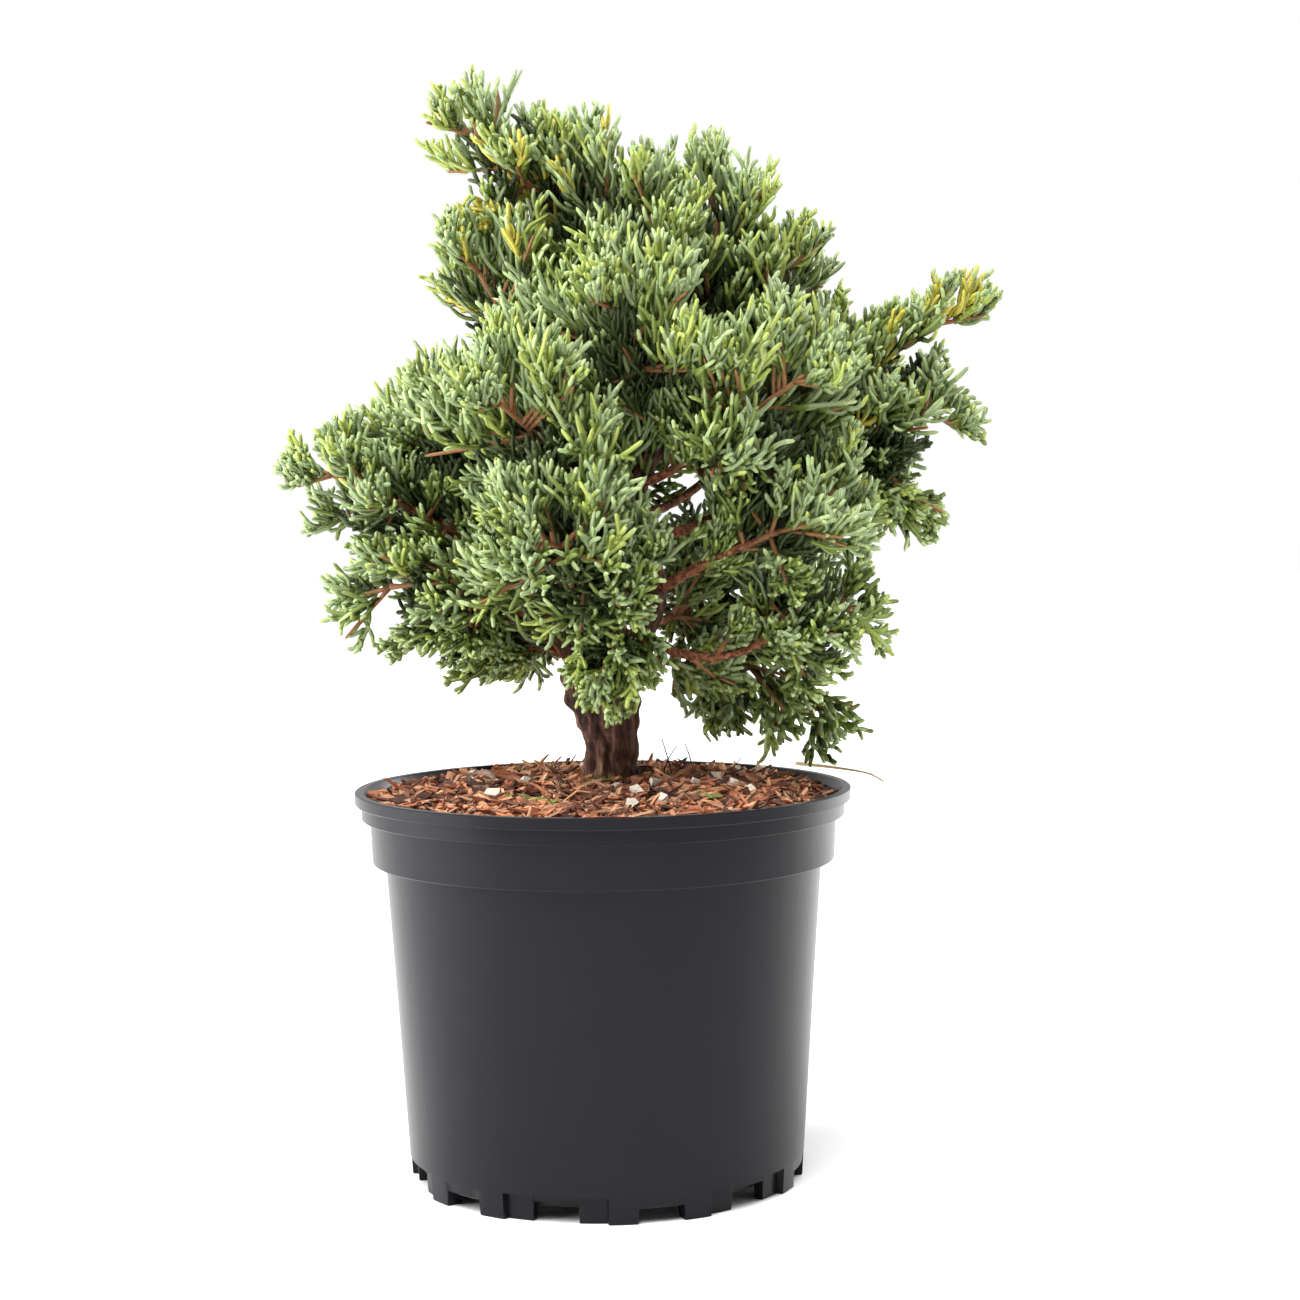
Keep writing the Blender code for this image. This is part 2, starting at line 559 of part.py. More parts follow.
    def fan(self, name, root, end, heading, pull, draw, count):
        """One spray straight on from a twig's end and others round it, each only as long as its room."""
        found = []
        across = unit(np.cross(heading, (0.1, 0.3, 1)))
        turn = draw.uniform(0, 2 * math.pi)
        for j in range(count + 1):
            place, angle = end, 0.0
            if j:
                place = root + (end - root) * (1 - 0.3 * j)
                angle = math.radians(38 + draw.uniform(-7, 7))
            about = turn + j * GOLDEN_ANGLE
            out = math.cos(about) * across + math.sin(about) * np.cross(across, heading)
            aim = unit(math.cos(angle) * heading + math.sin(angle) * out + (0, 0, pull * 0.45 * (j > 0)))
            longest = SPRAY_LENGTH * draw.uniform(0.85, 1.2)
            far = min(self.reach(name, place, aim), longest)
            spray = self.fitted(name, place, aim, far, draw.uniform(0, math.pi))
            if spray:
                found.append(spray)
        return found


def halton(index, base):
    """The index's digits in the base mirrored behind the point, which spreads values evenly from 0 to 1."""
    value, weight = 0.0, 1.0
    while index:
        weight /= base
        value += weight * (index % base)
        index //= base
    return value


def spray_points(place, aim, far, width, turn):
    """The ring of three points where a spray is widest, and its tip."""
    across = unit(np.cross(aim, (0.31, 0.17, 1)))
    other = np.cross(aim, across)
    ring = []
    for k in range(3):
        angle = turn + k * 2 * math.pi / 3
        out = math.cos(angle) * across + SPRAY_FLATNESS * math.sin(angle) * other
        ring.append(place + aim * far * SPRAY_WIDEST + out * width / 2)
    return np.array(ring), place + aim * far


def spray_mesh(place, aim, far, width, turn):
    """A slim three-sided spindle, widest past its middle, whose root is sunk into its twig."""
    ring, tip = spray_points(place, aim, far, width, turn)
    root = place - aim * ROOT_DEPTH
    faces = [(k, (k + 1) % 3, 3) for k in range(3)] + [((k + 1) % 3, k, 4) for k in range(3)]
    mesh = bpy.data.meshes.new("spray")
    mesh.from_pydata([*ring, tip, root], [], faces)
    return mesh


def twig_mesh(root, end):
    """A three-sided tapering twig."""
    shape = bmesh.new()
    run = Vector(end - root)
    place = Matrix.Translation(Vector(root) + run / 2) @ run.to_track_quat("Z", "Y").to_matrix().to_4x4()
    bmesh.ops.create_cone(
        shape, cap_ends=True, segments=3, radius1=TWIG_RADIUS, radius2=TWIG_END_RADIUS, depth=run.length, matrix=place
    )
    return mesh_from_bmesh("twig", shape)


def core_mesh(growth, name, share, draw):
    """The dense heart of a mass: a ragged ball, drawn in wherever its skin would leave the mass's room."""
    index = growth.names.index(name)
    stem, _ = growth.stems[name]
    heart = place_along(stem, 0.62)
    shape = bmesh.new()
    bmesh.ops.create_icosphere(shape, subdivisions=2, radius=1)
    headings = np.array([vert.co for vert in shape.verts])
    corners = np.array([[vert.index for vert in face.verts] for face in shape.faces])
    far = np.array([growth.reach(name, heart, unit(heading)) for heading in headings])
    far = np.maximum(far * share * draw.uniform(0.78, 1.12, len(far)), 0.12 * growth.widths[index])
    for _ in range(CORE_TRIES):
        points = heart + headings * far[:, None]
        skin = np.einsum("wk,fkc->wfc", CORE_SAMPLES, points[corners])
        clear = growth.free(name, skin.reshape(-1, 3), CLEARANCE).reshape(len(CORE_SAMPLES), -1).all(0)
        if clear.all():
            break
        far[np.unique(corners[~clear])] *= 0.86
    for vert, point in zip(shape.verts, points):
        vert.co = Vector(point)
    return mesh_from_bmesh("core", shape)


def keep_largest_shell(mesh):
    """Drops every loose scrap and every sealed hollow, so that one closed body is left."""
    shape = bmesh.new()
    shape.from_mesh(mesh)
    left = set(shape.faces)
    shells = []
    while left:
        shell, edge = set(), [next(iter(left))]
        while edge:
            face = edge.pop()
            if face in shell:
                continue
            shell.add(face)
            edge.extend(other for side in face.edges for other in side.link_faces if other not in shell)
        shells.append(shell)
        left -= shell
    size = [sum(face.calc_area() for face in shell) for shell in shells]
    keep = shells[size.index(max(size))]
    bmesh.ops.delete(shape, geom=[face for face in shape.faces if face not in keep], context="FACES")
    shape.to_mesh(mesh)
    shape.free()
    return len(shells) - 1


def make_mass(growth, name):
    """One mass of foliage as one solid: stem, twigs, sprays and core joined by one union."""
    share = MASSES[name][5]
    draw = np.random.default_rng(1000 * SEED + growth.names.index(name))
    twigs, sprays = growth.grow(name)
    stem, radii = growth.stems[name]
    mass = add_object(name, tube_mesh(name, stem, radii, 0), PARTS, "foliage")
    pieces = bpy.data.collections.new(f"{name}_pieces")
    CUTTERS.children.link(pieces)
    shapes = [twig_mesh(*twig) for twig in twigs]
    shapes += [spray_mesh(*spray) for spray in sprays]
    if share:
        shapes.append(core_mesh(growth, name, share, draw))
    for shape in shapes:
        add_object(shape.name, shape, pieces)
    union = mass.modifiers.new("union", "BOOLEAN")
    union.operation = "UNION"
    union.operand_type = "COLLECTION"
    union.collection = pieces
    union.solver = "MANIFOLD"
    bpy.context.view_layer.update()
    seen = mass.evaluated_get(bpy.context.evaluated_depsgraph_get())
    joined = bpy.data.meshes.new_from_object(seen)
    mass.modifiers.clear()
    mass.data = joined
    for piece in list(pieces.objects):
        bpy.data.objects.remove(piece)
    bpy.data.collections.remove(pieces)
    dropped = keep_largest_shell(joined)
    joined.name = name
    print(f"{name}: {len(twigs)} twigs, {len(sprays)} sprays, {len(joined.polygons)} faces, {dropped} scraps")


def centre_on_origin():
    """Moves the root so that the origin lies on the ground under the middle of the whole plant's box."""
    bpy.context.view_layer.update()
    graph = bpy.context.evaluated_depsgraph_get()
    lows, highs = [], []
    for made in PARTS.objects:
        if made.type != "MESH":
            continue
        seen = made.evaluated_get(graph)
        mesh = seen.to_mesh()
        points = np.empty(len(mesh.vertices) * 3)
        mesh.vertices.foreach_get("co", points)
        points = points.reshape(-1, 3)
        lows.append(points.min(0))
        highs.append(points.max(0))
        seen.to_mesh_clear()
    low, high = np.min(lows, 0), np.max(highs, 0)
    ROOT.location = (-(low[0] + high[0]) / 2, -(low[1] + high[1]) / 2, 0)
    print("size", np.round((high - low) / MM, 1), "root at", np.round(np.array(ROOT.location) / MM, 2))


def main():
    known = limbs()
    make_pot()
    make_soil()
    make_trunk()
    make_limbs(known)
    growth = Growth(known)
    for name in MASSES:
        make_mass(growth, name)
    centre_on_origin()


main()
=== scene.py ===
# %% [markdown]
# # A potted Chinese juniper
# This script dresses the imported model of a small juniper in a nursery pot. It loads the model as a
# fixed frame, and then puts fine foliage, bark, mulch and a finished pot where the plain solids are.

# %% Load the frame
import math
from collections import namedtuple

import bpy
import numpy as np
from mathutils import Matrix, Vector


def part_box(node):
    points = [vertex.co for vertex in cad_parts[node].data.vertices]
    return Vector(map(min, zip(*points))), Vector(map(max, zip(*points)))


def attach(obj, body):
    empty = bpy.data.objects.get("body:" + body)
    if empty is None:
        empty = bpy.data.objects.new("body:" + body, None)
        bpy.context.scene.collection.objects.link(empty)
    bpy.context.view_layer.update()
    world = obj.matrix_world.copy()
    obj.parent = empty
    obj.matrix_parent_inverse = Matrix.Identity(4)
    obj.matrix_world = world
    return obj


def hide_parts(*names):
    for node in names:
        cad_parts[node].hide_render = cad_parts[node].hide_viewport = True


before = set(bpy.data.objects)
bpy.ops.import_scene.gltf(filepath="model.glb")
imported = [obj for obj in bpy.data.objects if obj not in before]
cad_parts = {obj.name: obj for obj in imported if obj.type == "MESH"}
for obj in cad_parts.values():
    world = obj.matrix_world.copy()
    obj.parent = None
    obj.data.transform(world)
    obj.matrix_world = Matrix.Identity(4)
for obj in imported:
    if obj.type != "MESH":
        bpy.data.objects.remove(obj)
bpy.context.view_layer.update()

MM = 0.001
LOW, HIGH = (np.array(corner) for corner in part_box("pot"))
AXIS = np.array([(LOW[0] + HIGH[0]) / 2, (LOW[1] + HIGH[1]) / 2, 0.0])
print("nodes", len(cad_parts), "pot axis at", np.round(AXIS, 4))

# %% [markdown]
# ## Sizes of the plant
# The routes of the stems and boughs and the spaces of the foliage masses are the model's own. They are
# given in millimetres round the pot's axis, with the ground at zero.

# %% Sizes
MOUND_TOP = 152 * MM
MOUND_FLAT_RADIUS = 27 * MM  # level round the foot of the trunk
LUMP_HEIGHT = 1.3 * MM
TRUNK_ROUTE = [
    (3, 0, 152.3), (3, 0, 158), (3.5, 0, 168), (1.5, 0, 180), (0, 1, 190), (-0.5, 1, 198), (-0.5, 1, 203)
]
TRUNK_RADII = [10.5, 9.2, 9.4, 11.3, 13.2, 13.6, 8]
TRUNK_FLATNESS = 0.82
LEFT_STEM_ROUTE = [
    (-5.5, 2, 189), (-15, 8, 214), (-19, 14, 231), (-15, 26, 268),
    (-3, 34, 311), (1, 30, 342), (-5, 22, 363), (-22, 14, 378),
]
RIGHT_STEM_ROUTE = [
    (6.5, -1, 189), (17, -6, 213), (21, -10, 227), (16, -13, 248),
    (15, -14, 269), (26, -14, 284), (35, -10, 305), (41, -4, 325),
]
LEFT_STEM_RADII = (5.3, 2.2)
RIGHT_STEM_RADII = (5.3, 1.7)
BOUGHS = {  # its carrier, how far along that it starts, its tip, its sag, and its radii at base and tip
    "ridge_bough": ("left_stem", 0.76, (8, 12, 357), -2, 1.9, 1.2),
    "upper_middle_bough": ("left_stem", 0.66, (19, 0, 338), 2, 1.8, 1.2),
    "upper_left_bough": ("left_stem", 0.60, (-22, 14, 318), -2, 2.0, 1.3),
    "left_middle_bough": ("left_stem", 0.42, (-34, 10, 280), 2, 2.2, 1.4),
    "left_arm": ("left_stem", 0.24, (-72, 0, 257), 3, 2.7, 1.4),
    "low_left_bough": ("left_stem", 0.13, (-44, -12, 226), 3, 2.9, 1.6),
    "left_skirt_bough": ("left_stem", 0.055, (-27, 8, 208), 2, 1.9, 1.2),
    "rear_top_bough": ("left_stem", 0.64, (12, 50, 330), 2, 2.1, 1.4),
    "rear_left_bough": ("left_stem", 0.34, (-36, 46, 262), 4, 2.4, 1.5),
    "rear_middle_bough": ("left_stem", 0.46, (4, 58, 280), 4, 2.4, 1.5),
    "rear_low_left_bough": ("left_stem", 0.19, (-24, 44, 224), 4, 2.4, 1.5),
    "low_right_bough": ("right_stem", 0.15, (66, -31, 211), 10, 2.6, 1.4),
    "middle_right_bough": ("right_stem", 0.27, (58, -39, 245), -1, 2.7, 1.6),
    "right_arm": ("right_stem", 0.40, (100, 4, 279), 3, 2.7, 1.4),
    "rear_right_bough": ("right_stem", 0.47, (54, 44, 278), 4, 2.4, 1.5),
    "rear_low_right_bough": ("right_stem", 0.19, (42, 40, 226), 5, 2.4, 1.5),
    "right_skirt_bough": ("right_stem", 0.10, (50, 25, 195), 3, 2.0, 1.3),
    "top_right_bough": ("right_stem", 0.75, (57, 0, 318), 2, 1.9, 1.3),
    "front_right_bough": ("right_stem", 0.55, (42, -34, 281), 2, 2.2, 1.4),
    "front_upper_bough": ("right_stem", 0.66, (17, -28, 304), -3, 1.9, 1.3),
    "front_left_bough": ("right_stem", 0.50, (-12, -32, 275), 2, 2.1, 1.4),
    "front_low_bough": ("right_stem", 0.23, (-2, -35, 235), 2, 2.1, 1.4),
    "front_skirt_bough": ("right_stem", 0.11, (8, -31, 213), 1, 1.6, 1.1),
    "shoulder_bough": ("right_arm", 0.52, (74, 10, 287), -2, 1.8, 1.3),
    "right_tip_bough": ("right_arm", 0.72, (96, 10, 299), -3, 1.5, 1.1),
    "right_droop_bough": ("right_arm", 0.80, (105, -4, 268), 2, 1.3, 1.0),
}
MASSES = {  # its limb, its tip, its width, how its branches rise or droop, and 1 if it is dense
    "top_left_plume": ("left_stem", (-62, 4, 412), 27, 0.25, 0),
    "ridge_mass": ("ridge_bough", (-24, 2, 399), 29, 0.35, 1),
    "upper_middle_mass": ("upper_middle_bough", (16, -6, 388), 34, 0.35, 1),
    "upper_left_mass": ("upper_left_bough", (-56, -2, 370), 33, 0.15, 1),
    "left_middle_mass": ("left_middle_bough", (-86, 4, 286), 34, 0.2, 1),
    "left_tip_mass": ("left_arm", (-119, 0, 277), 28, 0.1, 0),
    "low_left_mass": ("low_left_bough", (-103, -4, 222), 29, -0.1, 0),
    "left_skirt": ("left_skirt_bough", (-86, 10, 202), 16, -0.25, 0),
    "rear_top_mass": ("rear_top_bough", (18, 84, 374), 42, 0.3, 1),
    "rear_left_mass": ("rear_left_bough", (-84, 88, 292), 42, 0.15, 1),
    "rear_middle_mass": ("rear_middle_bough", (6, 120, 300), 44, 0.15, 1),
    "rear_low_left_mass": ("rear_low_left_bough", (-58, 92, 224), 36, -0.2, 1),
    "low_right_mass": ("low_right_bough", (107, -24, 221), 31, -0.1, 0),
    "middle_right_mass": ("middle_right_bough", (102, -32, 259), 33, 0.1, 1),
    "right_arm_mass": ("right_arm", (143, 0, 298), 30, 0.0, 1),
    "rear_right_mass": ("rear_right_bough", (100, 88, 310), 44, 0.15, 1),
    "rear_low_right_mass": ("rear_low_right_bough", (86, 84, 228), 38, -0.2, 1),
    "right_skirt": ("right_skirt_bough", (99, 25, 168), 26, -0.4, 0),
    "top_right_mass": ("top_right_bough", (78, 0, 364), 34, 0.3, 1),
    "right_shoulder": ("shoulder_bough", (112, 4, 324), 28, 0.2, 1),
    "front_right_mass": ("front_right_bough", (88, -58, 314), 40, 0.25, 1),
    "front_upper_mass": ("front_upper_bough", (0, -56, 344), 38, 0.3, 1),
    "front_left_mass": ("front_left_bough", (-48, -70, 306), 40, 0.25, 1),
    "front_low_mass": ("front_low_bough", (-30, -86, 248), 38, 0.1, 1),
    "front_skirt": ("front_skirt_bough", (0, -56, 184), 18, -0.45, 0),
    "right_tip": ("right_tip_bough", (153, 4, 339), 20, 0.2, 0),
    "right_droop": ("right_droop_bough", (129, -6, 247), 14, -0.35, 0),
    "top_centre_mass": ("right_stem", (46, 4, 393), 32, 0.35, 1),
}
GOLDEN_ANGLE = math.radians(137.508)
FIT_GAP = 0.3 * MM  # between a limb's end and the stem of its mass
STEM_SHARE = 0.72  # how far towards its mass's tip a stem runs
STEM_BEND = 0.3  # how far a stem keeps to its limb's own heading
STEM_POINTS = 8
BACK_SHARE = 0.3  # how far back over its limb a mass's space reaches
SEED = 41
LITTER_SEED = 5


def unit(vectors):
    """Each vector divided by its own length."""
    return vectors / np.linalg.norm(vectors, axis=-1, keepdims=True)


def smooth_route(points, per_span):
    """A cubic through the points, whose slope at each point is half the way between its neighbours."""
    known = np.array(points, float) * MM
    known = np.vstack([2 * known[0] - known[1], known, 2 * known[-1] - known[-2]])
    t = (np.arange(per_span) / per_span)[None, :, None]
    a, b, c, d = (known[k : len(known) - 3 + k][:, None] for k in range(4))
    curve = 0.5 * (2 * b + (c - a) * t + (2 * a - 5 * b + 4 * c - d) * t**2 + (3 * b - a - 3 * c + d) * t**3)
    return np.vstack([curve.reshape(-1, 3), known[-2]])


def place_along(route, share):
    """Points at the given shares of the route's length."""
    reached = np.concatenate([[0], np.cumsum(np.linalg.norm(np.diff(route, axis=0), axis=1))])
    wanted = np.asarray(share) * reached[-1]
    return np.stack([np.interp(wanted, reached, route[:, k]) for k in range(3)], -1)


def resample(route, count):
    """The same route with evenly spaced points."""
    return place_along(route, np.linspace(0, 1, count))


def limbs(per_span, count):
    """Every stem and bough by name: its route and its radii. A bough is a straight line that sags midway."""
    made = {
        "left_stem": smooth_route(LEFT_STEM_ROUTE, per_span),
        "right_stem": smooth_route(RIGHT_STEM_ROUTE, per_span),
    }
    radii = {"left_stem": LEFT_STEM_RADII, "right_stem": RIGHT_STEM_RADII}
    for name, (carrier, share, tip, sag, base_radius, tip_radius) in BOUGHS.items():
        t = np.linspace(0, 1, count)[:, None]
        base = place_along(made[carrier], share)
        made[name] = base + (np.array(tip) * MM - base) * t
        made[name][:, 2] -= (4 * sag * MM * t * (1 - t))[:, 0]
        radii[name] = (base_radius, tip_radius)
    return {name: (route, np.linspace(*radii[name], len(route)) * MM) for name, route in made.items()}


KNOWN = limbs(per_span=2, count=5)
print("limbs", len(KNOWN), "masses", len(MASSES))

# %% [markdown]
# ## Materials
# Every finish is procedural and reads object coordinates. The colours of the foliage are dealt out by sprig:
# glaucous, leaf green, a dark green that is painted shade, fresh green and golden, and a pale one for tips.

# %% Kinds of finish
def linear(red, green, blue):
    """A colour seen on a screen, from 0 to 255, as linear light."""
    return tuple((value / 255) ** 2.2 for value in (red, green, blue))


def principled(name, colour, roughness, **more):
    """A material with plain values for its shader's inputs."""
    made = bpy.data.materials.new(name)
    made.use_nodes = True
    shader = made.node_tree.nodes["Principled BSDF"]
    shader.inputs["Base Color"].default_value = (*colour, 1)
    shader.inputs["Roughness"].default_value = roughness
    for key, value in more.items():
        shader.inputs[key.replace("_", " ")].default_value = value
    return made


def node(tree, kind, **values):
    """A new shader node with plain values in its inputs."""
    made = tree.nodes.new("ShaderNode" + kind)
    for key, value in values.items():
        made.inputs[key].default_value = value
    return made


def join(tree, *links):
    """Joins nodes: each link is a node, its output, the next node and its input."""
    for source, output, target, entry in links:
        tree.links.new(source.outputs[output], target.inputs[entry])


def noise_relief(tree, scale, detail, stretch, bump, distance):
    """A noise in object space that also dents the surface by a bump."""
    shader, place = tree.nodes["Principled BSDF"], node(tree, "TexCoord")
    mapping, noise = node(tree, "Mapping", Scale=stretch), node(tree, "TexNoise", Scale=scale, Detail=detail)
    relief = node(tree, "Bump", Strength=bump, Distance=distance)
    join(
        tree, (place, "Object", mapping, "Vector"), (mapping, "Vector", noise, "Vector"),
        (noise, "Fac", relief, "Height"), (relief, "Normal", shader, "Normal"),
    )
    return shader, noise


def mottled(name, colour, roughness, scale, spread, bump, depth, detail, **more):
    """A finish whose colour goes lighter and darker by the spread, with a noise, and that is dented."""
    made = principled(name, colour, roughness, **more)
    tree = made.node_tree
    shader, noise = noise_relief(tree, scale, detail, (1, 1, 1), bump, depth * MM)
    tint = node(tree, "Mix")
    tint.data_type = "RGBA"
    colour = shader.inputs["Base Color"].default_value[:3]
    tint.inputs["A"].default_value = (*[value * (1 - spread) for value in colour], 1)
    tint.inputs["B"].default_value = (*[min(1, value * (1 + spread)) for value in colour], 1)
    join(tree, (noise, "Fac", tint, "Factor"), (tint, "Result", shader, "Base Color"))
    return made


def bark_material(name, colours, scale, stretch, distance):
    """Bark in patches: a noise drawn out along the limb picks dark cracks, brown, or paler flakes."""
    cracks, brown, flakes = ((*linear(*colour), 1) for colour in colours)
    made = principled(name, brown[:3], BARK_ROUGHNESS)
    tree = made.node_tree
    shader, noise = noise_relief(tree, scale, BARK_DETAIL, stretch, BARK_BUMP, distance)
    noise.inputs["Roughness"].default_value = BARK_NOISE_ROUGHNESS
    ramp = node(tree, "ValToRGB")
    first, last = ramp.color_ramp.elements
    first.position, last.position = CRACKS_BELOW, FLAKES_ABOVE
    first.color, last.color = cracks, flakes
    ramp.color_ramp.elements.new(0.5).color = brown
    join(tree, (noise, "Fac", ramp, "Fac"), (ramp, "Color", shader, "Base Color"))
    return made


print("finishes ready")

# %% Finishes
LEAF_COLOURS = {
    "glaucous": (138, 156, 108),
    "leaf_green": (110, 127, 58),
    # painted shade: a dark green for the sprigs deep in the crown and for the feet of green shoots
    "painted_shade_green": (60, 73, 34),
    "fresh_green": (164, 178, 88),
    "golden": (200, 188, 80),
    "pale_tip": (164, 184, 122),
}
CHIP_COLOURS = [(184, 118, 84), (150, 92, 66), (206, 152, 114), (104, 68, 52), (168, 128, 100), (74, 50, 40)]
# Of each mottled finish: the roughness, the noise's scale, the spread of the colour, the bump, the depth of
# its dents in millimetres, and the noise's detail. The table has the colour as seen on a screen before them.
LEAF_FINISH = (0.5, 1500, 0.28, 0.5, 0.4, 4)
CHIP_FINISH = (0.9, 420, 0.4, 0.6, 0.6, 6)
POT_FINISH, POT_COLOUR = (0.30, 60, 0.12, 0.05, 0.4, 3), (0.0070, 0.0066, 0.0088)  # in linear light
MOTTLED = {
    "twig_bark": ((140, 96, 62), 0.75, 600, 0.3, 0.4, 0.3, 4),
    "mulch": ((96, 62, 48), 0.95, 300, 0.6, 0.9, 1, 8),
    "pumice": ((206, 196, 180), 0.95, 700, 0.25, 0.9, 0.6, 6),
    "moss": ((118, 112, 46), 0.95, 900, 0.35, 0.8, 0.6, 4),
    "straw": ((186, 158, 112), 0.8, 500, 0.25, 0.3, 0.3, 4),
    "root_grey": ((132, 110, 94), 0.9, 420, 0.35, 0.7, 0.6, 4),
}
BARK_ROUGHNESS, BARK_BUMP, BARK_DETAIL, BARK_NOISE_ROUGHNESS = 0.9, 0.9, 8, 0.62
CRACKS_BELOW, FLAKES_ABOVE = 0.36, 0.66
BARK_COLOURS = [(26, 16, 14), (82, 52, 40), (140, 106, 84)]  # cracks, brown and flakes
YOUNG_BARK_COLOURS = [(64, 34, 26), (132, 80, 54), (176, 122, 88)]
LEAVES = [mottled(name, linear(*colour), *LEAF_FINISH) for name, colour in LEAF_COLOURS.items()]
GLAUCOUS, GREEN, PAINTED_SHADE, FRESH, GOLDEN, PALE = range(len(LEAVES))
CHIPS = [mottled(f"chip_{k}", linear(*colour), *CHIP_FINISH) for k, colour in enumerate(CHIP_COLOURS)]
TWIG_BARK, MULCH, PUMICE, MOSS, STRAW_TAN, ROOT_GREY = (
    mottled(name, linear(*colour), *finish) for name, (colour, *finish) in MOTTLED.items()
)
ROOTLET_BROWN = principled("rootlet", linear(58, 36, 28), 0.9)
BARK = bark_material("bark", BARK_COLOURS, scale=240, stretch=(1, 1, 0.2), distance=3 * MM)
YOUNG_BARK = bark_material("young_bark", YOUNG_BARK_COLOURS, scale=500, stretch=(1, 1, 1), distance=1.2 * MM)
POT_PLASTIC = mottled("pot_plastic", POT_COLOUR, *POT_FINISH, Specular_IOR_Level=0.15)
print("materials", len(bpy.data.materials))

# %% [markdown]
# ## Surfaces from arrays
# A bundle of tubes is worked out at once: each tube has the same number of rings and sides, and its rings
# are carried along its own path. A stack of rings makes the mulch and the pot. Poles close both ends.

# %% Tubes and rings
POLE_RISE = 0.35  # how far past its last ring a tube's tip stands, as a share of the last step


def across_of(heading, guided_by=None):
    """Two unit vectors across each heading, from a guide that isn't near it."""
    upright = np.abs((heading if guided_by is None else guided_by)[..., 2:]) > 0.9
    guide = np.where(upright, np.array([1.0, 0, 0]), np.array([0, 0, 1.0]))
    first = unit(np.cross(guide, heading))
    return first, np.cross(heading, first)


def ring_faces(rings, sides):
    """Quads between each ring and the next, and fans of triangles to two poles that come after the rings."""
    ring, side = np.meshgrid(np.arange(rings - 1), np.arange(sides), indexing="ij")
    a, b = ring * sides + side, ring * sides + (side + 1) % sides
    quads = np.stack([a, b, b + sides, a + sides], -1).reshape(-1, 4)
    k, last, pole = np.arange(sides), (rings - 1) * sides, rings * sides
    foot = np.stack([(k + 1) % sides, k, np.full(sides, pole)], -1)
    head = np.stack([last + k, last + (k + 1) % sides, np.full(sides, pole + 1)], -1)
    return quads, np.vstack([foot, head])


def tubes(paths, radii, sides):
    """Points and faces of many tubes: a ring is its path's point plus the radius times a circle across.

    The radii are given for each path, ring and side, or once for all the sides or all the paths.
    """
    count, rings = paths.shape[:2]
    along = unit(np.gradient(paths, axis=1))
    first, second = across_of(along, guided_by=along[:, :1])
    angle = np.arange(sides) * 2 * math.pi / sides
    wave, swell = np.cos(angle)[None, None, :, None], np.sin(angle)[None, None, :, None]
    circle = wave * first[:, :, None] + swell * second[:, :, None]
    skin = paths[:, :, None] + circle * radii[..., None]
    points = np.empty((count, rings * sides + 2, 3))
    points[:, :-2] = skin.reshape(count, -1, 3)
    points[:, -2] = paths[:, 0]
    points[:, -1] = paths[:, -1] + (paths[:, -1] - paths[:, -2]) * POLE_RISE
    step = (np.arange(count) * points.shape[1])[:, None, None]
    quads, triangles = (faces[None] + step for faces in ring_faces(rings, sides))
    return points.reshape(-1, 3), quads.reshape(-1, 4), triangles.reshape(-1, 3)


def closed_rings(rings, first_pole, last_pole):
    """Points and faces of a stack of rings, closed by a pole at each end, that face the other way."""
    points = np.vstack([rings.reshape(-1, 3), [first_pole], [last_pole]])
    quads, triangles = ring_faces(*rings.shape[:2])
    return points, quads[:, [0, 3, 2, 1]], triangles[:, [1, 0, 2]]


def add(name, data):
    """A new object in the scene."""
    made = bpy.data.objects.new(name, data)
    bpy.context.scene.collection.objects.link(made)
    return made


def put(name, surface, materials, replaced=(), index=None, smooth=True):
    """A piece from a surface's arrays, shifted from the pot's axis to its place, that replaces some nodes."""
    points, quads, triangles = surface
    mesh = bpy.data.meshes.new(name)
    mesh.vertices.add(len(points))
    mesh.vertices.foreach_set("co", (points + AXIS).astype(np.float32).ravel())
    corners = np.concatenate([quads.ravel(), triangles.ravel()]).astype(np.int32)
    sizes = np.concatenate([np.full(len(quads), 4), np.full(len(triangles), 3)])
    mesh.loops.add(len(corners))
    mesh.loops.foreach_set("vertex_index", corners)
    mesh.polygons.add(len(sizes))
    mesh.polygons.foreach_set("loop_start", np.concatenate([[0], np.cumsum(sizes)[:-1]]).astype(np.int32))
    for material in materials:
        mesh.materials.append(material)
    if index is not None:
        mesh.polygons.foreach_set("material_index", index.astype(np.int32))
    mesh.polygons.foreach_set("use_smooth", np.full(len(sizes), smooth))
    mesh.update()
    mesh.validate()
    made = add(name, mesh)
    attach(made, "root")
    if replaced:
        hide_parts(*replaced)
    return made


print("surfaces ready")

# %% [markdown]
# ## How the foliage branches
# Each mass keeps to its own space, an ellipsoid on its stem. Twigs leave the stem towards even directions,
# sprigs leave the twigs on turning sides, and shoots leave the sprigs in the same way. A twig is cut short
# where it leaves its space, and a sprig or shoot that would end outside the crown is left out.

# %% Spaces
BORDER_OVERLAP = 0.12  # how far past the border to a neighbour's space a twig may reach


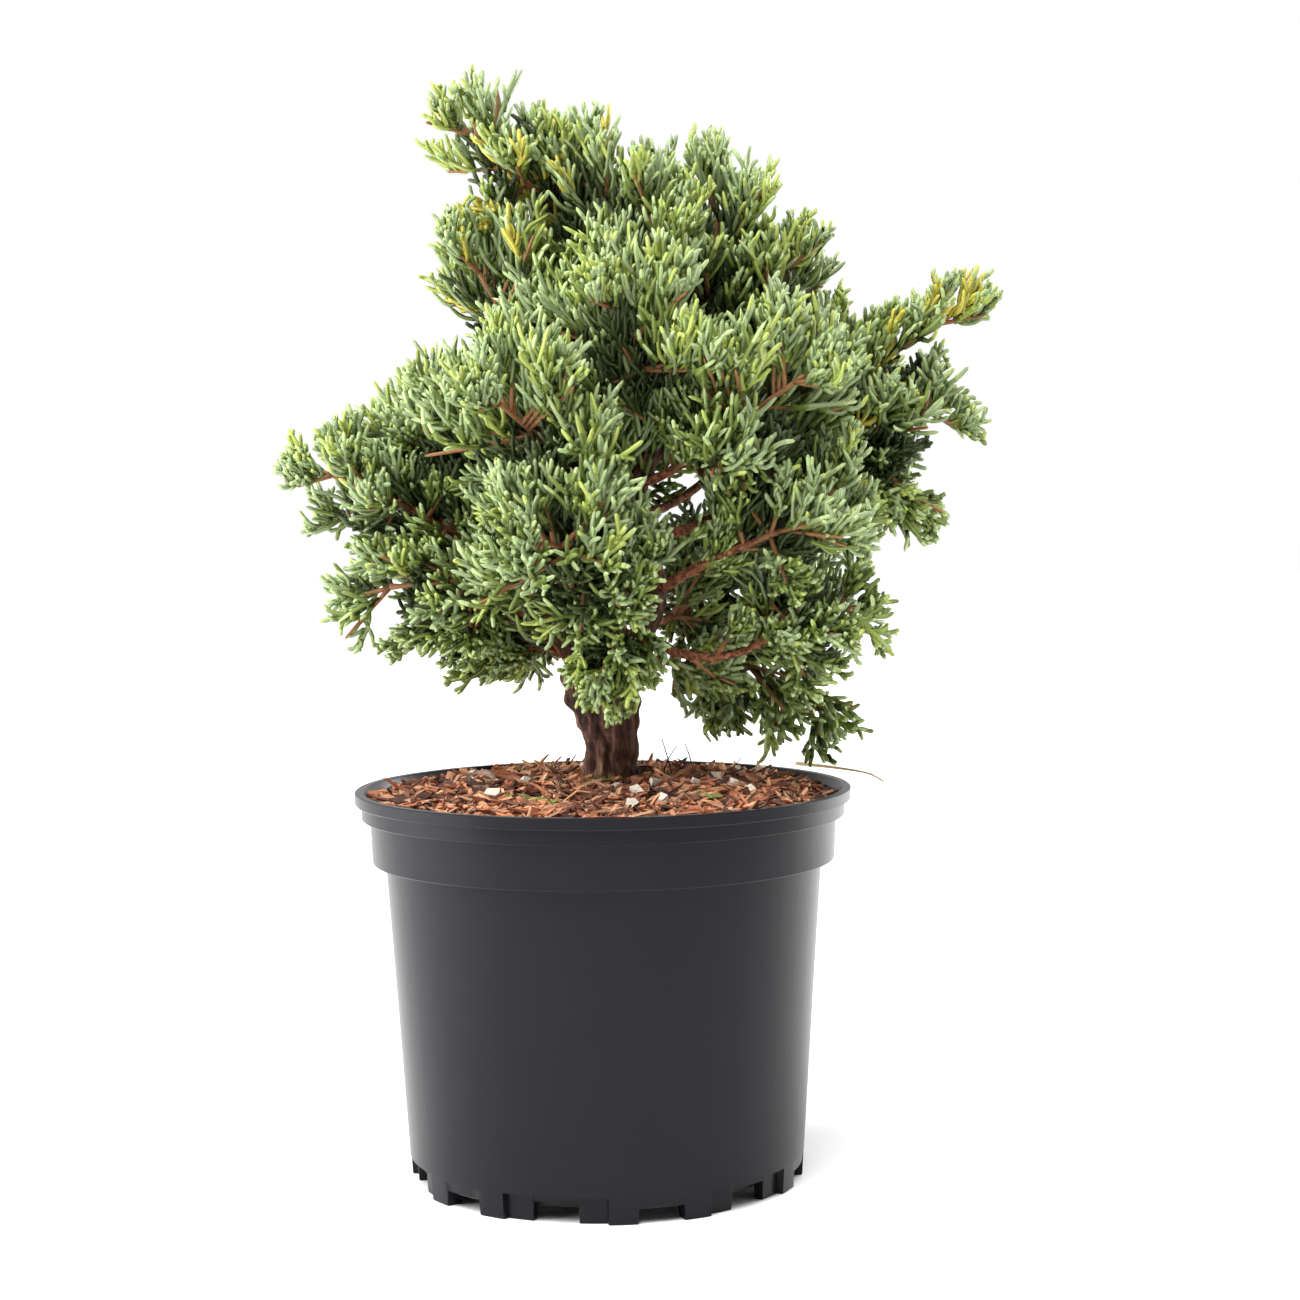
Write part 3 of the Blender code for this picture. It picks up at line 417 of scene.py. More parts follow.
class Spaces:
    """The ellipsoids of all the masses, and the stems inside them."""

    def __init__(self):
        self.names = list(MASSES)
        self.stems, starts, tips = {}, [], []
        for name, (carrier, tip, *_) in MASSES.items():
            route, _ = KNOWN[carrier]
            end = unit(route[-1] - route[-2])
            start = route[-1] + end * FIT_GAP
            tip = np.array(tip) * MM
            bend = start + end * np.linalg.norm(tip - start) * STEM_BEND
            t = np.linspace(0, STEM_SHARE, STEM_POINTS)[:, None]
            self.stems[name] = (1 - t) ** 2 * start + 2 * t * (1 - t) * bend + t**2 * tip
            starts.append(start)
            tips.append(tip)
        starts, tips = np.array(starts), np.array(tips)
        back = starts - (tips - starts) * BACK_SHARE
        self.centres = (back + tips) / 2
        self.axes = unit(tips - starts)
        self.lengths = np.linalg.norm(tips - back, axis=1) / 2
        self.widths = np.array([row[2] for row in MASSES.values()]) * MM

    def depth(self, points):
        """For each mass and point, 0 at the middle of the mass's ellipsoid and 1 at its surface."""
        away = points[None] - self.centres[:, None]
        along = np.einsum("mpk,mk->mp", away, self.axes)
        across = np.maximum((away**2).sum(-1) - along**2, 0)
        return np.sqrt((along / self.lengths[:, None]) ** 2 + across / self.widths[:, None] ** 2)

    def inside(self, index, points):
        """Whether each point is in the mass's own space, and not far past the border to a neighbour's."""
        depth = self.depth(points)
        own = depth[index].copy()
        depth[index] = np.inf
        return (own <= 1) & (own <= depth.min(0) + BORDER_OVERLAP)

    def in_crown(self, points, slack):
        """Whether each point is within any mass's space, grown by the slack."""
        return self.depth(points).min(0) <= slack


SPACES = Spaces()
print("spaces", len(SPACES.names))

# %% Branching
ASTRAY = 0.09  # how far a path bends to a side, as a share of its length
LEAN_SPREAD = 0.16  # radians by which a side shoot's angle varies
PLACE_SPREAD, PLACES_SPAN = 0.8, 0.84  # of its part of the path, and of the whole path


def mirrored(count, base):
    """The first values of the sequence that mirrors each index's digits behind the point."""
    index, value, weight = np.arange(1, count + 1), np.zeros(count), 1.0
    while index.any():
        weight /= base
        value += weight * (index % base)
        index = index // base
    return value


def upward(size):
    """A vector of the given size that points straight up."""
    return np.array([0, 0, size])


def branch(roots, headings, lengths, lift, rings):
    """Paths root + heading * length * t, that also rise by lift * length * t squared, for t from 0 to 1."""
    t = np.linspace(0, 1, rings)[None, :, None]
    bend = np.zeros((len(roots), 1, 3))
    bend[..., 2] = (lift * lengths)[:, None]
    return roots[:, None] + headings[:, None] * lengths[:, None, None] * t + bend * t**2


def wander(paths, draw):
    """The same paths, each bent to a side of its own by a parabola that is zero at both ends."""
    t = np.linspace(0, 1, paths.shape[1])[None, :, None]
    run = np.linalg.norm(paths[:, -1] - paths[:, 0], axis=1)[:, None, None]
    return paths + draw.normal(0, ASTRAY, (len(paths), 1, 3)) * run * 4 * t * (1 - t)


def spread_shares(count, per_path, first, draw):
    """Places for side shoots along each of the paths: one in each equal part, from the first share on."""
    shares = (np.arange(per_path)[None] + draw.uniform(0, PLACE_SPREAD, (count, per_path))) / per_path
    return first + PLACES_SPAN * shares


def side_shoots(paths, per_path, shares, angle, onward, draw):
    """Roots and headings of shoots that leave each path on turning sides at an angle, and lean onward."""
    rings = paths.shape[1]
    place = np.clip(shares * (rings - 1), 0, rings - 1.001)
    low = place.astype(int)
    part = (place - low)[..., None]
    row = np.arange(len(paths))[:, None]
    roots = paths[row, low] * (1 - part) + paths[row, low + 1] * part
    heading = unit(paths[row, low + 1] - paths[row, low])
    first, second = across_of(heading)
    turn = np.arange(per_path)[None] * GOLDEN_ANGLE + draw.uniform(0, 2 * math.pi, (len(paths), 1))
    out = np.cos(turn)[..., None] * first + np.sin(turn)[..., None] * second
    lean = angle + draw.uniform(-LEAN_SPREAD, LEAN_SPREAD, turn.shape)
    aims = np.cos(lean)[..., None] * heading + np.sin(lean)[..., None] * out
    return roots, unit(aims + np.asarray(onward))


print("branching ready")

# %% [markdown]
# ## Twigs, sprigs and shoots
# Three orders of branches are grown for each mass. Their counts, lengths and angles are given first. The
# pull of a mass, from its row of sizes, makes its branches rise or droop.

# %% Twigs
TWIG_POINTS = 7
FEWEST_TWIGS, TWIGS_PER_ROOM, OPEN_MASS_SHARE = 8, 2.1e5, 0.75
FURTHEST_FORWARD, FORWARD_SPAN = 0.97, 1.8
SIDE_SETBACK, LOWEST_ROOT = 0.35, 0.12
SHORTEST_TWIG = 8 * MM
TWIG_LENGTHS, TWIG_REACH = (0.76, 1.14), 0.84  # of the way to where the space ends
ASIDE = (0.3, 0.2, 1)  # a direction that no mass's axis follows
TURN_SPREAD, TWIG_PULL, TWIG_LIFT = 0.3, 0.5, 0.12
PROBES = np.linspace(0.05, 1.1, 28)  # shares of a twig's way at which it is tested for leaving its space
INNER_TWIGS, INNER_LENGTHS, INNER_SLACK = 17, (14, 28), 1.22  # on the limb itself, behind the mass
INNER_FROM, INNER_ONWARD, INNER_UPWARD, INNER_LIFT = 0.25, 0.7, 0.3, 0.15


def outer_twigs(index, tip, pull, dense, stem, draw):
    """Twigs towards even points of the space's border, cut short where they leave it, and one at the tip."""
    length, width, axis = SPACES.lengths[index], SPACES.widths[index], SPACES.axes[index]
    side = unit(np.cross(axis, ASIDE))
    up = np.cross(side, axis)
    count = int((FEWEST_TWIGS + TWIGS_PER_ROOM * length * width * width) * (1 if dense else OPEN_MASS_SHARE))
    forward = FURTHEST_FORWARD - FORWARD_SPAN * mirrored(count, 2)
    turn = np.arange(count) * GOLDEN_ANGLE + draw.uniform(-TURN_SPREAD, TURN_SPREAD, count)
    across = np.sqrt(np.maximum(1 - forward**2, 0))
    out = width * across[:, None] * (np.cos(turn)[:, None] * side + np.sin(turn)[:, None] * up)
    target = SPACES.centres[index] + length * forward[:, None] * axis + out
    share = np.clip((forward + 1) / 2 - SIDE_SETBACK * across, LOWEST_ROOT, STEM_SHARE) / STEM_SHARE
    root = place_along(stem, share)
    heading = unit(unit(target - root) + upward(pull * TWIG_PULL))
    reach = np.linalg.norm(target - root, axis=1)
    probe = root[:, None] + heading[:, None] * (reach[:, None] * PROBES)[..., None]
    clear = SPACES.inside(index, probe.reshape(-1, 3)).reshape(count, -1)
    far = reach * PROBES[np.where(clear.all(1), len(PROBES) - 1, clear.argmin(1))]
    keep = far > SHORTEST_TWIG
    root, heading, far = root[keep], heading[keep], far[keep] * draw.uniform(*TWIG_LENGTHS, keep.sum())
    last = np.array(tip) * MM - stem[-1]
    root = np.vstack([root, stem[-1]])
    heading = np.vstack([heading, unit(last)])
    far = np.append(far, np.linalg.norm(last))
    return branch(root, heading, far * TWIG_REACH, TWIG_LIFT * pull, TWIG_POINTS)


def inner_twigs(carrier, axis, pull, draw):
    """Twigs on the limb behind the mass, in directions that lean onward, which fill the crown's middle."""
    root = place_along(KNOWN[carrier][0], draw.uniform(INNER_FROM, 1, INNER_TWIGS))
    aim = unit(draw.normal(0, 1, (INNER_TWIGS, 3)) + axis * INNER_ONWARD + upward(INNER_UPWARD + pull))
    far = draw.uniform(*INNER_LENGTHS, INNER_TWIGS) * MM
    keep = SPACES.in_crown(root + aim * far[:, None], INNER_SLACK)
    return branch(root[keep], aim[keep], far[keep], INNER_LIFT * pull, TWIG_POINTS)


print("twigs behind each mass", INNER_TWIGS)

# %% Sprigs and shoots
SHOOT_RINGS, SHOOT_SIDES, SHOOT_RADIUS = 5, 3, 1.02 * MM
SHOOT_TAPER = (0.84, 1.02, 0.94, 1.0, 0.80)
# Of each kind: how many grow on a path, from which share on and at what angle; their length as a share of the
# path's, how it starts and drops along the path, its limits in mm and its spread; and how much they rise.
Kind = namedtuple("Kind", "count first angle reach start drop shortest longest spread lift pull")
SPRIG = Kind(7, 0.16, 0.66, 0.72, 1.15, 0.5, 11 * MM, 28 * MM, (0.8, 1.2), 0.10, 0.25)
SHOOT = Kind(6, 0.10, 0.66, 0.58, 1.2, 0.66, 4.5 * MM, 12 * MM, (0.75, 1.25), 0.14, 0.3)
END_SPRIG_REACH, END_SPRIG_LIMITS = 0.5, (12 * MM, 24 * MM)
SPRIG_SUNK, SHOOT_SUNK = 0.5 * MM, 0.6 * MM  # how deep a foot stands in the branch that carries it
SPRIG_SLACK, INNER_SPRIG_SLACK, SHOOT_SLACK = (0.92, 1.12), 0.22, 1.22
SPRIG_TESTED = 0.8  # of a sprig's length that has to be in the crown
ONWARD_UP, ONWARD_PULL, ONWARD_AXIS, SHOOT_ONWARD = 0.24, 0.9, 0.25, 0.4


def side_branches(paths, reach, kind, onward, draw):
    """Roots, headings and lengths of all the branches of one kind, shorter towards their path's tip."""
    shares = spread_shares(len(paths), kind.count, kind.first, draw)
    roots, aims = side_shoots(paths, kind.count, shares, kind.angle, onward, draw)
    lengths = (kind.reach * reach[:, None]) * (kind.start - kind.drop * shares)
    lengths = np.clip(lengths, kind.shortest, kind.longest) * draw.uniform(*kind.spread, shares.shape)
    return roots.reshape(-1, 3), aims.reshape(-1, 3), lengths.ravel()


def sprigs_on(twigs, inner, onward, pull, draw):
    """Sprigs along each twig and one at its end, where they stay in the crown; their paths and lengths."""
    run = np.linalg.norm(twigs[:, -1] - twigs[:, 0], axis=1)
    roots, aims, lengths = side_branches(twigs, run, SPRIG, onward, draw)
    ends = unit(twigs[:, -1] - twigs[:, -2])
    roots = np.vstack([roots, twigs[:, -1] - ends * SPRIG_SUNK])
    aims = np.vstack([aims, ends])
    lengths = np.concatenate([lengths, np.clip(END_SPRIG_REACH * run, *END_SPRIG_LIMITS)])
    behind = np.concatenate([np.repeat(inner, SPRIG.count), inner])
    slack = draw.uniform(*SPRIG_SLACK, len(roots)) + INNER_SPRIG_SLACK * behind
    keep = SPACES.in_crown(roots + aims * (SPRIG_TESTED * lengths)[:, None], slack)
    roots, aims, lengths = roots[keep], aims[keep], lengths[keep]
    return branch(roots, aims, lengths, SPRIG.pull * pull + SPRIG.lift, SHOOT_RINGS), lengths


def shoots_on(sprigs, reach, onward, pull, draw):
    """Shoots along each sprig, where they stay in the crown; their paths and each one's sprig."""
    roots, aims, lengths = side_branches(sprigs, reach, SHOOT, onward * SHOOT_ONWARD, draw)
    keep = SPACES.in_crown(roots + aims * lengths[:, None], SHOOT_SLACK)
    owner = np.repeat(np.arange(len(sprigs)), SHOOT.count)[keep]
    roots, aims, lengths = roots[keep], aims[keep], lengths[keep]
    foot = roots - aims * SHOOT_SUNK
    return branch(foot, aims, lengths, SHOOT.pull * pull + SHOOT.lift, SHOOT_RINGS), owner


print("sprigs on a twig", SPRIG.count + 1, "shoots on a sprig", SHOOT.count)

# %% [markdown]
# ## Foliage in place of each mass
# Every sprig has one tone. Sprigs deep in the crown are painted shade in dark green, more of the high ones
# are fresh, and a few masses have golden ones. A shoot takes its sprig's tone, with a foot darkened as
# painted shade and often a paler tip.

# %% Foliage
GOLDEN_SHARES = {"top_left_plume": 0.2, "ridge_mass": 0.1, "upper_left_mass": 0.08, "right_tip": 0.3}
GOLDEN_ELSEWHERE = 0.004
# painted shade: most sprigs whose tip lies this deep in the crown are made dark green
SHADE_WITHIN, SHADE_SHARE = 0.62, 0.9
FRESH_BEYOND, FRESH_SHARE, FRESH_MORE = 0.72, 0.08, 0.26
HIGH_FROM, HIGH_SPAN = 0.27, 0.12  # metres above the ground
PALE_TIPS, PLAIN_TIPS = 0.8, 0.45
GLAUCOUS_SHARE, GLAUCOUS_MORE = 0.5, 0.3  # at the middle of its mass, and more above it
STEM_TIP, TWIG_FOOT, TWIG_TIP, TWIG_SIDES = 0.9 * MM, 1.0 * MM, 0.6 * MM, 5


def sprig_tones(name, index, tips, draw):
    """The tone of each sprig, by how deep and how high its tip is, and by chance; the deep ones get painted
    shade.
    """
    count = len(tips)
    lift = (tips[:, 2] - SPACES.centres[index][2]) / SPACES.widths[index]
    outer = SPACES.depth(tips).min(0)
    high = np.clip((tips[:, 2] - HIGH_FROM) / HIGH_SPAN, 0, 1)
    tone = np.where(draw.uniform(0, 1, count) < GLAUCOUS_SHARE + GLAUCOUS_MORE * lift, GLAUCOUS, GREEN)
    # painted shade: sprigs deep in the crown take the dark green
    tone = np.where((outer < SHADE_WITHIN) & (draw.uniform(0, 1, count) < SHADE_SHARE), PAINTED_SHADE, tone)
    fresh = draw.uniform(0, 1, count) < FRESH_SHARE + FRESH_MORE * high
    tone = np.where((outer > FRESH_BEYOND) & fresh, FRESH, tone)
    golden = draw.uniform(0, 1, count) < GOLDEN_SHARES.get(name, GOLDEN_ELSEWHERE)
    return np.where(golden, GOLDEN, tone)


def put_leaves(name, paths, main, draw):
    """Shoots and sprigs as slim tubes, each in three tones: its foot, darkened as painted shade, its length
    and its tip.
    """
    # painted shade: the foot of a glaucous shoot is leaf green and that of a green one the dark green; fresh
    # and golden ones keep their tone
    foot = np.select([main == GLAUCOUS, main == FRESH, main == GOLDEN], [GREEN, FRESH, GOLDEN], PAINTED_SHADE)
    head = np.where(draw.uniform(0, 1, len(paths)) < PALE_TIPS, PALE, FRESH)
    head = np.where((main == PAINTED_SHADE) | (draw.uniform(0, 1, len(paths)) < PLAIN_TIPS), main, head)
    radii = SHOOT_RADIUS * np.array(SHOOT_TAPER)[:, None]
    segment = np.repeat(np.arange(SHOOT_RINGS - 1), SHOOT_SIDES)[None]
    quad_index = np.where(segment < 1, foot[:, None], main[:, None])
    quad_index = np.where(segment == SHOOT_RINGS - 2, head[:, None], quad_index).ravel()
    ends = np.repeat(np.column_stack([foot, head]), SHOOT_SIDES, axis=1).ravel()
    index = np.concatenate([quad_index, ends])
    return put(f"foliage_{name}", tubes(paths, radii, SHOOT_SIDES), LEAVES, [name], index)


def put_twigs(name, stem, twigs):
    """The mass's stem and twigs as tubes that grow thinner."""
    _, limb_radii = KNOWN[MASSES[name][0]]
    stem_radii = np.linspace(limb_radii[-1], STEM_TIP, TWIG_POINTS)
    twig_radii = np.linspace(TWIG_FOOT, TWIG_TIP, TWIG_POINTS)
    radii = np.vstack([stem_radii] + [twig_radii] * len(twigs))[..., None]
    paths = np.concatenate([resample(stem, TWIG_POINTS)[None], twigs])
    put(f"twigs_{name}", tubes(paths, radii, TWIG_SIDES), [TWIG_BARK])


def dress(name):
    """Grows one mass's twigs, sprigs and shoots, and puts them in the scene in place of its solid."""
    index = SPACES.names.index(name)
    carrier, tip, _, pull, dense = MASSES[name]
    draw = np.random.default_rng(SEED + index)
    stem, axis = SPACES.stems[name], SPACES.axes[index]
    twigs = outer_twigs(index, tip, pull, dense, stem, draw)
    behind = inner_twigs(carrier, axis, pull, draw)
    inner = np.arange(len(twigs) + len(behind)) >= len(twigs)
    twigs = np.concatenate([twigs, behind])
    onward = upward(ONWARD_UP + ONWARD_PULL * pull) + ONWARD_AXIS * axis
    sprigs, lengths = sprigs_on(twigs, inner, onward, pull, draw)
    shoots, owner = shoots_on(sprigs, lengths, onward, pull, draw)
    sprigs, shoots = wander(sprigs, draw), wander(shoots, draw)
    tone = sprig_tones(name, index, sprigs[:, -1], draw)
    leaves = put_leaves(name, np.concatenate([shoots, sprigs]), np.concatenate([tone[owner], tone]), draw)
    put_twigs(name, stem, twigs)
    return len(shoots) + len(sprigs), len(leaves.data.polygons)


dressed = np.array([dress(name) for name in MASSES])
print("shoots", dressed[:, 0].sum(), "faces", dressed[:, 1].sum(), "most in one piece", dressed[:, 1].max())

# %% [markdown]
# ## Bark
# The trunk and every limb get a fine skin. Its radius rises and falls in long strips, by a sum of waves
# round the limb that drift along it, so the bark looks fibrous and flaking.

# %% Bark
# Of each skin: its share of the plain limb's radii, its rings, its sides and its relief.
TRUNK_SKIN, STEM_SKIN, BOUGH_SKIN = (0.97, 190, 150, 0.17), (0.9, 200, 40, 0.2), (0.74, 80, 16, 0.22)


def relief_at(angle, height):
    """Strips and flakes of bark at an angle round the limb and a height in mm, as a sum of waves.

    The strips are powers of sines of 3.5 and 6.5 times the angle, which slow sines of the height turn round
    the limb. The flakes are a sine of the height times one of 5 times the angle.
    """
    drift = 1.1 * np.sin(0.11 * height + 2 * np.sin(angle)) + 0.6 * np.sin(0.23 * height + 1.7)
    broad = np.abs(np.sin(3.5 * angle + drift)) ** 0.6 - 0.6
    narrow = 0.5 * np.abs(np.sin(6.5 * angle - 1.3 * drift + 0.9)) ** 0.7
    flakes = np.sin(0.55 * height + 3 * np.sin(2 * angle + 0.4)) * np.sin(5 * angle + 0.21 * height)
    return broad + narrow + 0.5 * flakes


def bark_skin(route, radii, size, rings, sides, relief, flatness=1.0):
    """One limb as a closed tube: its radius times one plus a share of the relief."""
    path = resample(route, rings)
    along = np.linspace(0, 1, rings)
    base = np.interp(along, np.linspace(0, 1, len(radii)), radii * size)[:, None]
    angle = (np.arange(sides) * 2 * math.pi / sides)[None]
    reach = np.linalg.norm(np.diff(path, axis=0), axis=1).sum() / MM
    skin = base * (1 + relief * relief_at(angle, reach * along[:, None]))
    points, quads, triangles = tubes(path[None], skin[None], sides)
    if flatness != 1:
        middle = np.interp(points[:, 2], route[:, 2], route[:, 1])
        points[:, 1] = middle + (points[:, 1] - middle) * flatness
    return points, quads, triangles


def put_bark(name, shapes, material, nodes):
    """Joins limb skins into one piece that stands for the given nodes."""
    starts = np.cumsum([0] + [len(points) for points, _, _ in shapes])
    points = np.vstack([shape[0] for shape in shapes])
    quads, triangles = (np.vstack([shape[k] + start for shape, start in zip(shapes, starts)]) for k in (1, 2))
    put(name, (points, quads, triangles), [material], nodes)


STEMS = ["left_stem", "right_stem"]
trunk_route = smooth_route(TRUNK_ROUTE, 6)
trunk_radii = np.interp(np.linspace(0, 1, 60), np.linspace(0, 1, len(TRUNK_RADII)), TRUNK_RADII) * MM
trunk_skin = bark_skin(trunk_route, trunk_radii, *TRUNK_SKIN, TRUNK_FLATNESS)
put_bark("trunk_bark", [trunk_skin], BARK, ["trunk"])
put_bark("stem_bark", [bark_skin(*KNOWN[name], *STEM_SKIN) for name in STEMS], BARK, STEMS)
bough_skins = [bark_skin(*KNOWN[name], *BOUGH_SKIN) for name in BOUGHS]
put_bark("bough_bark", bough_skins, YOUNG_BARK, list(BOUGHS))
print("limbs in bark", 1 + len(STEMS) + len(BOUGHS))

# %% [markdown]
# ## Mulch
# A fine lumpy surface lies over the plain mound, and chips of bark and a few grains of pumice are strewn on
# it. Each chip is a block with uneven corners, at a height that follows the mound.

# %% Mulch
BED_RADIUS, BED_EDGE_HEIGHT = 89.4 * MM, 145.6 * MM  # loose mulch lies up against the rim's inner side
BED_RINGS, BED_SIDES, BED_MIDDLE = 90, 220, 0.5 * MM
BED_DEPTH, BED_FOOT_SHARE = 16 * MM, 0.955
TRUNK_CLEARING, GRAIN_HEIGHT, MOUND_POWER = 12 * MM, 0.5 * MM, 1.6
CHIP_MARGIN, CHIP_NEAREST = 3 * MM, 0.012
CHIP_CORNERS = (0.55, 1.1)
CHIP_TURN, CHIP_TILT, CHIP_ROLL = 9, 0.3, 0.5


def mound(x, y):
    """The height of the mulch: a mound that falls with a power of the distance, with lumps and a fine grain.

    The lumps are crossed waves plus a slanting one, and fade out at the trunk. The grain is crossed waves
    that other waves bend.
    """
    radius = np.hypot(x, y)
    away = np.clip((radius - MOUND_FLAT_RADIUS) / (BED_RADIUS - MOUND_FLAT_RADIUS), 0, 1)
    lumps = np.sin(x / (9 * MM)) * np.cos(y / (7 * MM) + 1) + 0.6 * np.sin((x + 2 * y) / (11 * MM) + 2)
    fine = np.sin(x / (2.1 * MM) + 2 * np.sin(y / (3.3 * MM))) * np.sin(y / (1.7 * MM) + x / (5 * MM))
    free = np.clip((radius - TRUNK_CLEARING) / TRUNK_CLEARING, 0, 1)
    rough = LUMP_HEIGHT * lumps * free + GRAIN_HEIGHT * fine
    return MOUND_TOP - (MOUND_TOP - BED_EDGE_HEIGHT) * away**MOUND_POWER + rough


def put_mulch():
    """The mound's surface as rings about its middle, closed by a skirt and an underside."""
    radius = np.linspace(BED_MIDDLE, BED_RADIUS, BED_RINGS)[:, None]
    angle = (np.arange(BED_SIDES) * 2 * math.pi / BED_SIDES)[None]
    x, y = radius * np.cos(angle), radius * np.sin(angle)
    top = np.stack([x, y, mound(x, y)], -1)
    skirt = top[-1] * np.array([BED_FOOT_SHARE, BED_FOOT_SHARE, 1]) - upward(BED_DEPTH)
    rings = np.concatenate([top, skirt[None]])
    bed = closed_rings(rings, upward(MOUND_TOP), upward(BED_EDGE_HEIGHT - BED_DEPTH))
    put("mulch_bed", bed, [MULCH], ["soil"])


def rotated(first, second, angle):
    """Two coordinates of each block's corners, turned by the block's angle."""
    c, s = np.cos(angle)[:, None], np.sin(angle)[:, None]
    return first * c - second * s, first * s + second * c


def put_chips(name, count, sizes, materials, draw, lift):
    """Blocks strewn on the mound, each tilted, rolled and turned in its own way."""
    radius = np.sqrt(draw.uniform(CHIP_NEAREST, 1, count)) * (BED_RADIUS - CHIP_MARGIN)
    bearing = draw.uniform(0, 2 * math.pi, count)
    x, y = radius * np.cos(bearing), radius * np.sin(bearing)
    size = np.array([draw.uniform(low, high, count) for low, high in sizes]).T * MM / 2
    corner = np.array([[i, j, k] for i in (-1, 1) for j in (-1, 1) for k in (-1, 1)], float)
    block = corner[None] * size[:, None] * draw.uniform(*CHIP_CORNERS, (count, 8, 3))
    turn, tilt, roll = (draw.normal(0, spread, count) for spread in (CHIP_TURN, CHIP_TILT, CHIP_ROLL))
    along, height = rotated(block[..., 0], block[..., 2], tilt)
    across, height = rotated(block[..., 1], height, roll)
    along, across = rotated(along, across, turn)
    middle = (mound(x, y) + lift * MM + size[:, 2])[:, None]
    points = np.stack([along + x[:, None], across + y[:, None], height + middle], -1)
    faces = np.array([[0, 1, 3, 2], [4, 6, 7, 5], [0, 4, 5, 1], [2, 3, 7, 6], [0, 2, 6, 4], [1, 5, 7, 3]])
    quads = (faces[None] + (np.arange(count) * 8)[:, None, None]).reshape(-1, 4)
    index = np.repeat(draw.integers(0, len(materials), count), len(faces))
    surface = points.reshape(-1, 3), quads, np.empty((0, 3), int)
    put(name, surface, materials, index=index, smooth=False)


draw = np.random.default_rng(LITTER_SEED)
put_mulch()
put_chips("bark_chips", 300, [(6, 13), (2.5, 5.5), (1, 2.6)], CHIPS, draw, -0.4)
put_chips("bark_shreds", 2600, [(5, 19), (0.7, 2.2), (0.5, 1.3)], CHIPS, draw, 0.2)
put_chips("bark_crumbs", 4200, [(1.2, 3.6), (0.8, 2.2), (0.5, 1.3)], CHIPS, draw, -0.1)
put_chips("pumice_grains", 26, [(3.5, 6), (3, 4.6), (3, 4.5)], [PUMICE], draw, -0.3)

# %% [markdown]
# ## Things that lie on the mulch
# A curved grey root, a tall stone, thin rootlets, a blade of straw over the rim, two fallen sprigs and tufts
# of moss. Each is a tube or many tubes along routes in millimetres round the pot's axis.

# %% Litter
ROOT_PIECE = [(-52, 12, 150.5), (-48, 15, 153.5), (-44, 9, 154), (-42, 0, 152.5), (-39, -9, 150)]
STRAW = [(80, 72, 150), (92, 38, 152), (103, 12, 152.5), (108, 2, 150.5)]
FALLEN = [[(-38, -34, 150.5), (-30, -44, 151.5), (-17, -62, 150.5)], [(30, -35, 151), (40, -48, 151)]]
STONE = [(7.4, 10, 150), (7.0, 9, 155), (8.2, 9.5, 159.5)]
SINGLE_TUBES = {  # the route, its steps in a span, its rings, the radii at foot and tip in mm, the sides
    "root_piece": (ROOT_PIECE, 6, 24, 1.9, 1.2, 10, ROOT_GREY),
    "straw": (STRAW, 6, 20, 0.9, 0.3, 6, STRAW_TAN),
    "tall_stone": (STONE, 3, 6, 2.6, 1.5, 7, PUMICE),
}
MOSS_SPOTS = [(-29, 51, 9), (-1, -8, 8), (-35, 27, 6)]  # x, y and radius
ROOTLET_COUNT, ROOTLET_PLACE, ROOTLET_SPREAD = 70, (26, 14, 149), (10, 6, 0.5)
FALLEN_SHOOTS, FALLEN_LENGTH, FALLEN_POINTS = 9, 5.5 * MM, 6
MOSS_TUFTS, MOSS_LENGTHS = 240, (1.4, 3)


def put_litter(name, paths, foot_radius, tip_radius, sides, material):
    """Tubes that lie on the mulch, all with the same radius in mm at the foot and at the tip."""
    radii = foot_radius + (tip_radius - foot_radius) * np.linspace(0, 1, paths.shape[1])
    put(name, tubes(paths, (radii * MM)[:, None], sides), [material])


def put_rootlets(draw):
    """Fine dead roots that rise in a tangle on the right of the trunk."""
    foot = np.array(ROOTLET_PLACE) + draw.normal(0, 1, (ROOTLET_COUNT, 3)) * ROOTLET_SPREAD
    aim = unit(draw.normal(0, 1, (ROOTLET_COUNT, 3)) * (1, 0.6, 0.35) + (0.1, 0, 0.35))
    lengths, lift = draw.uniform(6, 19, ROOTLET_COUNT) * MM, draw.uniform(-0.5, 0.2, ROOTLET_COUNT)
    paths = wander(branch(foot * MM, aim, lengths, lift, 7), draw)
    put_litter("rootlets", paths, 0.42, 0.2, 4, ROOTLET_BROWN)


def put_fallen(draw):
    """Two sprigs of green that have dropped on the mulch, with their shoots nearly level."""
    axes = np.stack([resample(smooth_route(route, 4), FALLEN_POINTS) for route in FALLEN])
    shares = np.repeat(np.linspace(0.1, 0.95, FALLEN_SHOOTS)[None], len(axes), 0)
    roots, aims = side_shoots(axes, FALLEN_SHOOTS, shares, 0.7, (0, 0, 0), draw)
    aims[..., 2] = np.abs(aims[..., 2]) * 0.3
    lengths = np.full(roots.shape[0] * roots.shape[1], FALLEN_LENGTH)
    shoots = branch(roots.reshape(-1, 3), aims.reshape(-1, 3), lengths, 0, FALLEN_POINTS)
    put_litter("fallen_sprigs", np.concatenate([axes, shoots]), 0.95, 0.7, 4, LEAVES[GREEN])


